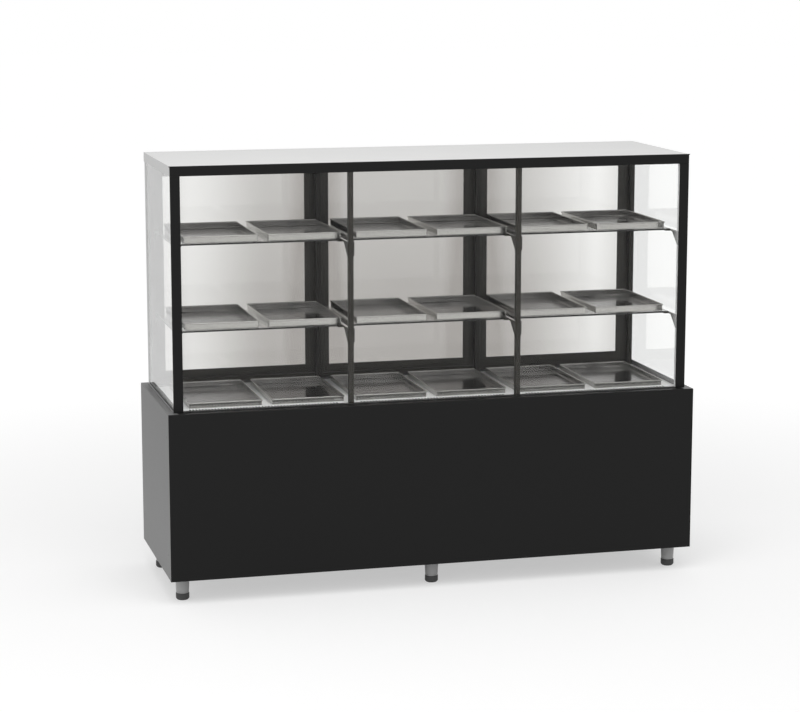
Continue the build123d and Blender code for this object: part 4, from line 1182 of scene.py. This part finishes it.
def stileSection(thick, near, far):
    # From the outer edge: a fine line in one face, the pane's groove, and the pull's groove in the other.
    width, bite, deep = door["stile"], door["stile"] - door["bite"], door["lineDeep"]
    lineNear, lineFar = door["line"] - door["lineWide"] / 2, door["line"] + door["lineWide"] / 2
    pullNear, pullFar = door["grooveEdge"], door["grooveEdge"] + door["groove"]
    pullFloor = thick - door["grooveDepth"]
    corners = [(0, 0), (lineNear, 0), (lineNear, deep), (lineFar, deep), (lineFar, 0), (width, 0),
               (width, near), (bite, near), (bite, far), (width, far), (width, thick), (pullFar, thick),
               (pullFar, pullFloor), (pullNear, pullFloor), (pullNear, thick), (0, thick)]
    fine = 4 * [0.0003]
    radii = [0.0012] + fine + [0.0005] + fine + [0.0005, 0.0008, 0.0015, 0.0015, 0.0008, 0.0012]
    return np.array(corners), radii


def doorStiles(low, high, near, far):
    # The stile's section and its mirror image, carried up. near and far are the sides of the pane's groove.
    section, radii = stileSection(high[1] - low[1], near, far)
    stiles = []
    for edge, inward in ((low[0], 1), (high[0], -1)):
        corners = np.stack([edge + inward * section[:, 0], low[1] + section[:, 1]], 1)
        stiles.append(bar(rounded(corners, radii[::inward], 4), low[2], high[2], "z", 0.0005))
    return stiles


def doorRails(low, high, railLow, railHigh, near, far):
    # Each rail has a groove for the pane, and a tongue that runs in the track.
    thick = high[1] - low[1]
    tongueLow = (thick - door["tongue"]) / 2
    tongueHigh = thick - tongueLow
    rails = []
    for edge, inward, end in ((low[2], 1, railLow[2]), (high[2], -1, railHigh[2])):
        inner, bite = edge + inward * door["rail"], edge + inward * (door["rail"] - door["bite"])
        corners = [(0, edge), (tongueLow, edge), (tongueLow, end), (tongueHigh, end), (tongueHigh, edge),
                   (thick, edge), (thick, inner), (far, inner), (far, bite), (near, bite), (near, inner),
                   (0, inner)]
        outline = rounded(np.array(corners) + (low[1], 0), 0.0004, 3)
        rails.append(bar(outline, railLow[0] + hair, railHigh[0] - hair, "x"))
    return rails


def rearDoors():
    # Each pane holds across, its points' distance from its left edge as a share of its width.
    for name in ("left", "middle", "right"):
        body = f"rear_door_{name}"
        low, high = ends(f"{body}_stiles")
        railLow, railHigh = ends(f"{body}_rails")
        near = (high[1] - low[1] - door["pane"]) / 2 - door["gap"]
        far = high[1] - low[1] - near
        stiles = doorStiles(low, high, near, far)
        rails = doorRails(low, high, railLow, railHigh, near, far)
        piece(f"{name}DoorStiles", stiles, profileFinish, [f"{body}_stiles"], body)
        piece(f"{name}DoorRails", rails, profileFinish, [f"{body}_rails"], body)
        low, high = ends(f"{body}_glass")
        pane = slab(low, high, 0.0004, "y", 0.002)
        piece(f"{name}DoorPane", [pane], doorGlass, [f"{body}_glass"], body,
              values=dict(across=(pane[0][:, 0] - low[0]) / (high[0] - low[0])))


rearFrame()
rearDoors()
print("rear doors made")


# Lamp, switch, inlet and driver box

lamp = dict(wall=0.0015, round=0.0005, bulge=0.0008, gap=0.0002)


def lampParts():
    # Three walls round each lamp, open below, and its lens. Both outlines are carried along X.
    wall, gap = lamp["wall"], lamp["gap"]
    housings, lenses = [], []
    for low, high in solidBoxes("led_housings"):
        near, far, top = low[1] + wall, high[1] - wall, high[2] - wall
        corners = [(low[1], low[2]), (near, low[2]), (near, top), (far, top), (far, low[2]),
                   (high[1], low[2]), (high[1], high[2]), (low[1], high[2])]
        housings.append(bar(rounded(corners, lamp["round"], 3), low[0], high[0], "x"))
    piece("lampChannels", housings, channelFinish, ["led_housings"])
    for low, high in solidBoxes("led_diffusers"):
        # The lens is lowest in its middle, and rises to its edges as the square of the distance from there
        across = np.linspace(low[1] + gap, high[1] - gap, 9)
        share = (across - across.mean()) / (across[-1] - across.mean())
        under = np.stack([across, low[2] + lamp["bulge"] * share ** 2], 1)
        outline = np.concatenate([under, [(across[-1], high[2]), (across[0], high[2])]])
        lenses.append(bar(outline, low[0] + gap, high[0] - gap, "x"))
    piece("lampLenses", lenses, lensPlastic, ["led_diffusers"])


switch = dict(bodyX=0.0098, bodyZ=0.0133, wellZ=0.0115, wellGap=0.0005, flange=0.0015, bodyWall=0.002)
rocker = dict(width=0.014, tall=0.0105, crown=0.0055, dish=0.0016, edge=0.0006)
mark = dict(sink=0.0002, proud=0.0003, strokeWide=0.0011, strokeTall=0.0040, strokeFrom=0.0038,
            ringHeight=-0.0058, ringInner=0.0013, ringOuter=0.0020)


def switchFrame():
    # Rounded rectangles from the well's floor round the body, out under the flange, over its face and into
    # the well. Each row has a half size, a corner radius and a place along Y.
    low, high = ends("switch_housing")
    centre, flange = ((low + high) / 2)[[0, 2]], ((high - low) / 2)[[0, 2]]
    face, panel, floor = high[1], high[1] - switch["flange"], low[1] + switch["bodyWall"]
    body = np.array([switch["bodyX"], switch["bodyZ"]])
    well = np.array([rocker["width"] / 2 + switch["wellGap"], switch["wellZ"]])
    rows = [(well, 0.0008, floor), (body, 0.0010, floor), (body, 0.0010, panel),
            (flange - 0.0002, 0.0022, panel), (flange, 0.0024, panel + 0.0004),
            (flange - 0.0003, 0.0021, face - 0.0003), (flange - 0.0010, 0.0018, face),
            (well + 0.0005, 0.0012, face), (well, 0.0010, face - 0.0005)]
    shell = closedRings([(oblong(centre - half, centre + half, radius, 5), along)
                         for half, radius, along in rows])
    left, bottom = centre - well - 0.0005
    right, top = centre + well + 0.0005
    back = slab((left, low[1], bottom), (right, floor + hair, top), 0.0005, "y")
    piece("switchFrame", [shell, back], blackPlastic, ["switch_housing"])


def onCrown(flat, lift, middleX, pivot, turn):
    # Points of a mark, across and up the rocker, set on its hollow top and turned with it.
    hollow = rocker["crown"] - rocker["dish"] * (1 - (flat[..., 1] / rocker["tall"]) ** 2) + lift
    placed = np.stack([hollow, flat[..., 1]], -1) @ turn.T + pivot
    return np.concatenate([middleX + flat[..., :1], placed], -1)


def switchRocker():
    # The rocker's outline is a hollow top between two crests, whose height goes as the square of the distance
    # from its middle, and a heel at the pivot. It is turned by half of the joint's range.
    low, high = ends("light_switch")
    joint = next(joint for joint in frame["joints"] if joint["name"] == "light_switch_rock")
    pivot = np.array([joint["pos_m"][1], joint["pos_m"][2]])
    tilt = np.radians(joint["range_deg"][1]) / 2
    turn = np.array([[np.cos(tilt), -np.sin(tilt)], [np.sin(tilt), np.cos(tilt)]])
    tall, along = rocker["tall"], np.linspace(-1, 1, 13)
    top = np.stack([rocker["crown"] - rocker["dish"] * (1 - along ** 2), along * tall], 1)
    heel = np.array([(-0.001, tall - 0.001), (-0.004, 0.0), (-0.001, -tall + 0.001)])
    outline = anticlockwise(np.concatenate([top, heel]) @ turn.T + pivot)
    shape = bar(outline, low[0], high[0], "x", rocker["edge"])
    piece("switchRocker", [shape], blackPlastic, ["light_switch"], "light_switch", crease=30)

    # A stroke above and a ring below, sunk a little into the crown
    middleX = sum(ends("switch_housing"))[0] / 2
    sunk, proud, inner, outer = -mark["sink"], mark["proud"], mark["ringInner"], mark["ringOuter"]
    wide, bottom = mark["strokeWide"] / 2, mark["strokeFrom"]
    flat = oblong((-wide, bottom), (wide, bottom + mark["strokeTall"]), 0.0004, 4)
    stroke = [onCrown(flat, lift, middleX, pivot, turn) for lift in (sunk, proud)]
    ring = [onCrown(np.array([0.0, mark["ringHeight"]]) + circle(28) * radius, lift, middleX, pivot, turn)
            for radius, lift in ((inner, sunk), (outer, sunk), (outer, proud), (inner, proud))]
    marks = [stack(np.array(stroke), flip=True), stack(np.array(ring), loop=True, flip=True)]
    piece("switchMarks", marks, markPaint, (), "light_switch")


inlet = dict(flange=0.002, bodyX=0.006, bodyZ=0.002, wall=0.002, depth=0.017, cut=0.004,
             pins=((-0.007, -0.002), (0.0, 0.002), (0.007, -0.002)), pinWide=0.001, pinTall=0.002,
             pinSunk=0.003)


def cutOblong(centre, half, radius):
    # A rectangle whose two upper corners are cut off, as on the socket.
    (x, z), cut = half, inlet["cut"]
    corners = centre + np.array([(-x, -z), (x, -z), (x, z - cut), (x - cut, z), (-x + cut, z), (-x, z - cut)])
    return rounded(corners, radius, 4)


def mainsInlet():
    # The same order of rings as in the switch: floor, body, flange and well.
    low, high = ends("power_inlet")
    centre, flange = ((low + high) / 2)[[0, 2]], ((high - low) / 2)[[0, 2]]
    face, panel = high[1], high[1] - inlet["flange"]
    body = flange - (inlet["bodyX"], inlet["bodyZ"])
    well, floor = body - inlet["wall"], panel - inlet["depth"]
    rows = [(well, 0.0010, floor), (body, 0.0010, floor - 0.004), (body, 0.0010, panel),
            (flange - 0.0002, 0.0012, panel), (flange, 0.0014, panel + 0.0005),
            (flange, 0.0014, face - 0.0006), (flange - 0.0006, 0.0012, face),
            (well + 0.0006, 0.0010, face), (well, 0.0010, face - 0.0006)]
    shell = closedRings([(cutOblong(centre, half, radius), along) for half, radius, along in rows])
    left, bottom = centre - well - 0.0005
    right, top = centre + well + 0.0005
    floorPlate = slab((left, low[1], bottom), (right, floor + hair, top), 0.0004, "y")
    piece("inletShell", [shell, floorPlate], blackPlastic, ["power_inlet"])
    pins, wide, tall, pinEnd = [], inlet["pinWide"], inlet["pinTall"], panel - inlet["pinSunk"]
    for x, z in (centre + offset for offset in inlet["pins"]):
        pins.append(slab((x - wide, floor, z - tall), (x + wide, pinEnd, z + tall), 0.0005, "y"))
    piece("inletPins", pins, zincFinish)


box = dict(lid=0.006, gap=0.0006, edge=0.0015, corner=0.003, coreInset=0.001, coreLength=0.002)


def driverBox():
    # A body and a lid with a fine joint between them, and a narrower core that closes the joint.
    low, high = ends("electrical_box")
    lid, inset = low[0] + box["lid"], box["coreInset"]
    body = slab((lid + box["gap"], low[1], low[2]), high, box["edge"], "x", box["corner"])
    front = slab(low, (lid, high[1], high[2]), box["edge"], "x", box["corner"])
    core = slab((lid - inset, low[1] + inset, low[2] + inset),
                (lid + box["coreLength"], high[1] - inset, high[2] - inset), 0.0003, "x", 0.002)
    piece("driverBox", [body, front, core], sleevePlastic, ["electrical_box"])


lampParts()
switchFrame()
switchRocker()
mainsInlet()
driverBox()
print("lamp and controls made")


# Solids whose shape is right keep it and take a finish

for node, finish in (
    ("foot_beams", zincFinish),
    ("base_floor_panel", greyCoat),
    ("deck_supports", zincFinish),
    ("deck_panel", deckCoat),
):
    nodes[node].data.materials.clear()
    nodes[node].data.materials.append(finish)


# Floor, light and camera

studio = dict(floorReach=40.0, floorDiffuse=0.53, floorGlow=0.49, farGlow=0.62, glowFrom=1.6, glowTo=4.5,
              world=0.72)


def floorPlane():
    # Far from the case the floor's glow rises, so that it runs out into the white of the background.
    mesh = bpy.data.meshes.new("studioFloor")
    reach = studio["floorReach"]
    mesh.from_pydata([(x, y, 0) for x, y in boxCorners((-reach, -reach), (reach, reach))], [], [(0, 1, 2, 3)])
    floor = bpy.data.objects.new("studioFloor", mesh)
    bpy.context.scene.collection.objects.link(floor)
    material, tree, shader = newFinish("paleFloor", Roughness=1.0, **{
        "Specular IOR Level": 0.0, "Base Color": grey(studio["floorDiffuse"]),
        "Emission Color": (1, 1, 1, 1)})
    away = add(tree, "ShaderNodeVectorMath", operation="LENGTH")
    tree.links.new(objectPoint(tree), away.inputs[0])
    glow = ramp(tree, away.outputs["Value"], studio["floorGlow"], studio["farGlow"], studio["glowFrom"],
                studio["glowTo"], "SMOOTHSTEP")
    tree.links.new(math(tree, "MULTIPLY", seenDirectly(tree), glow), shader.inputs["Emission Strength"])
    mesh.materials.append(material)


lights = dict(
    keyLamp=dict(place=(-0.5, -2.2, 4.2), aim=(0, 0, 0.8), size=3.0, power=60.0),
    fillLamp=dict(place=(-4.0, -3.5, 2.2), aim=(0, 0, 0.7), size=2.5, power=22.0),
)


def studioLight():
    # A world that is white where it is seen and a little dimmer where it lights, and two square lamps.
    world = bpy.data.worlds.new("studioWorld")
    bpy.context.scene.world = world
    world.use_nodes = True
    tree = world.node_tree
    backdrop = tree.nodes["Background"]
    backdrop.inputs["Color"].default_value = (1, 1, 1, 1)
    tree.links.new(ramp(tree, seenDirectly(tree), studio["world"], 1.0), backdrop.inputs["Strength"])
    for name, light in lights.items():
        data = bpy.data.lights.new(name, "AREA")
        data.shape, data.size, data.energy = "SQUARE", light["size"], light["power"]
        made = bpy.data.objects.new(name, data)
        bpy.context.scene.collection.objects.link(made)
        made.location = light["place"]
        # A lamp shines down its own -Z: it is tipped by its angle from straight down, then turned round Z
        away = np.array(light["place"]) - np.array(light["aim"])
        tipped, turn = np.arctan2(np.hypot(away[0], away[1]), away[2]), np.arctan2(away[1], away[0])
        made.rotation_euler = (tipped, 0, turn + np.pi / 2)


view = dict(place=(-2.1757, -8.0225, 2.2479), yaw=0.2582, pitch=0.1750, focalPixels=2341.7, widthPixels=800,
            sensor=36.0)


def photoCamera():
    # The lens's length is to the sensor's width as the focal length in pixels is to the picture's width.
    lens = bpy.data.cameras.new("photoCamera")
    lens.sensor_width = view["sensor"]
    lens.lens = view["focalPixels"] / view["widthPixels"] * view["sensor"]
    camera = bpy.data.objects.new("photoCamera", lens)
    camera.location = view["place"]
    camera.rotation_euler = (np.pi / 2 - view["pitch"], 0, -view["yaw"])
    bpy.context.scene.collection.objects.link(camera)
    bpy.context.scene.camera = camera


floorPlane()
studioLight()
photoCamera()
bpy.context.scene.view_settings.view_transform = "Standard"
print("studio made")
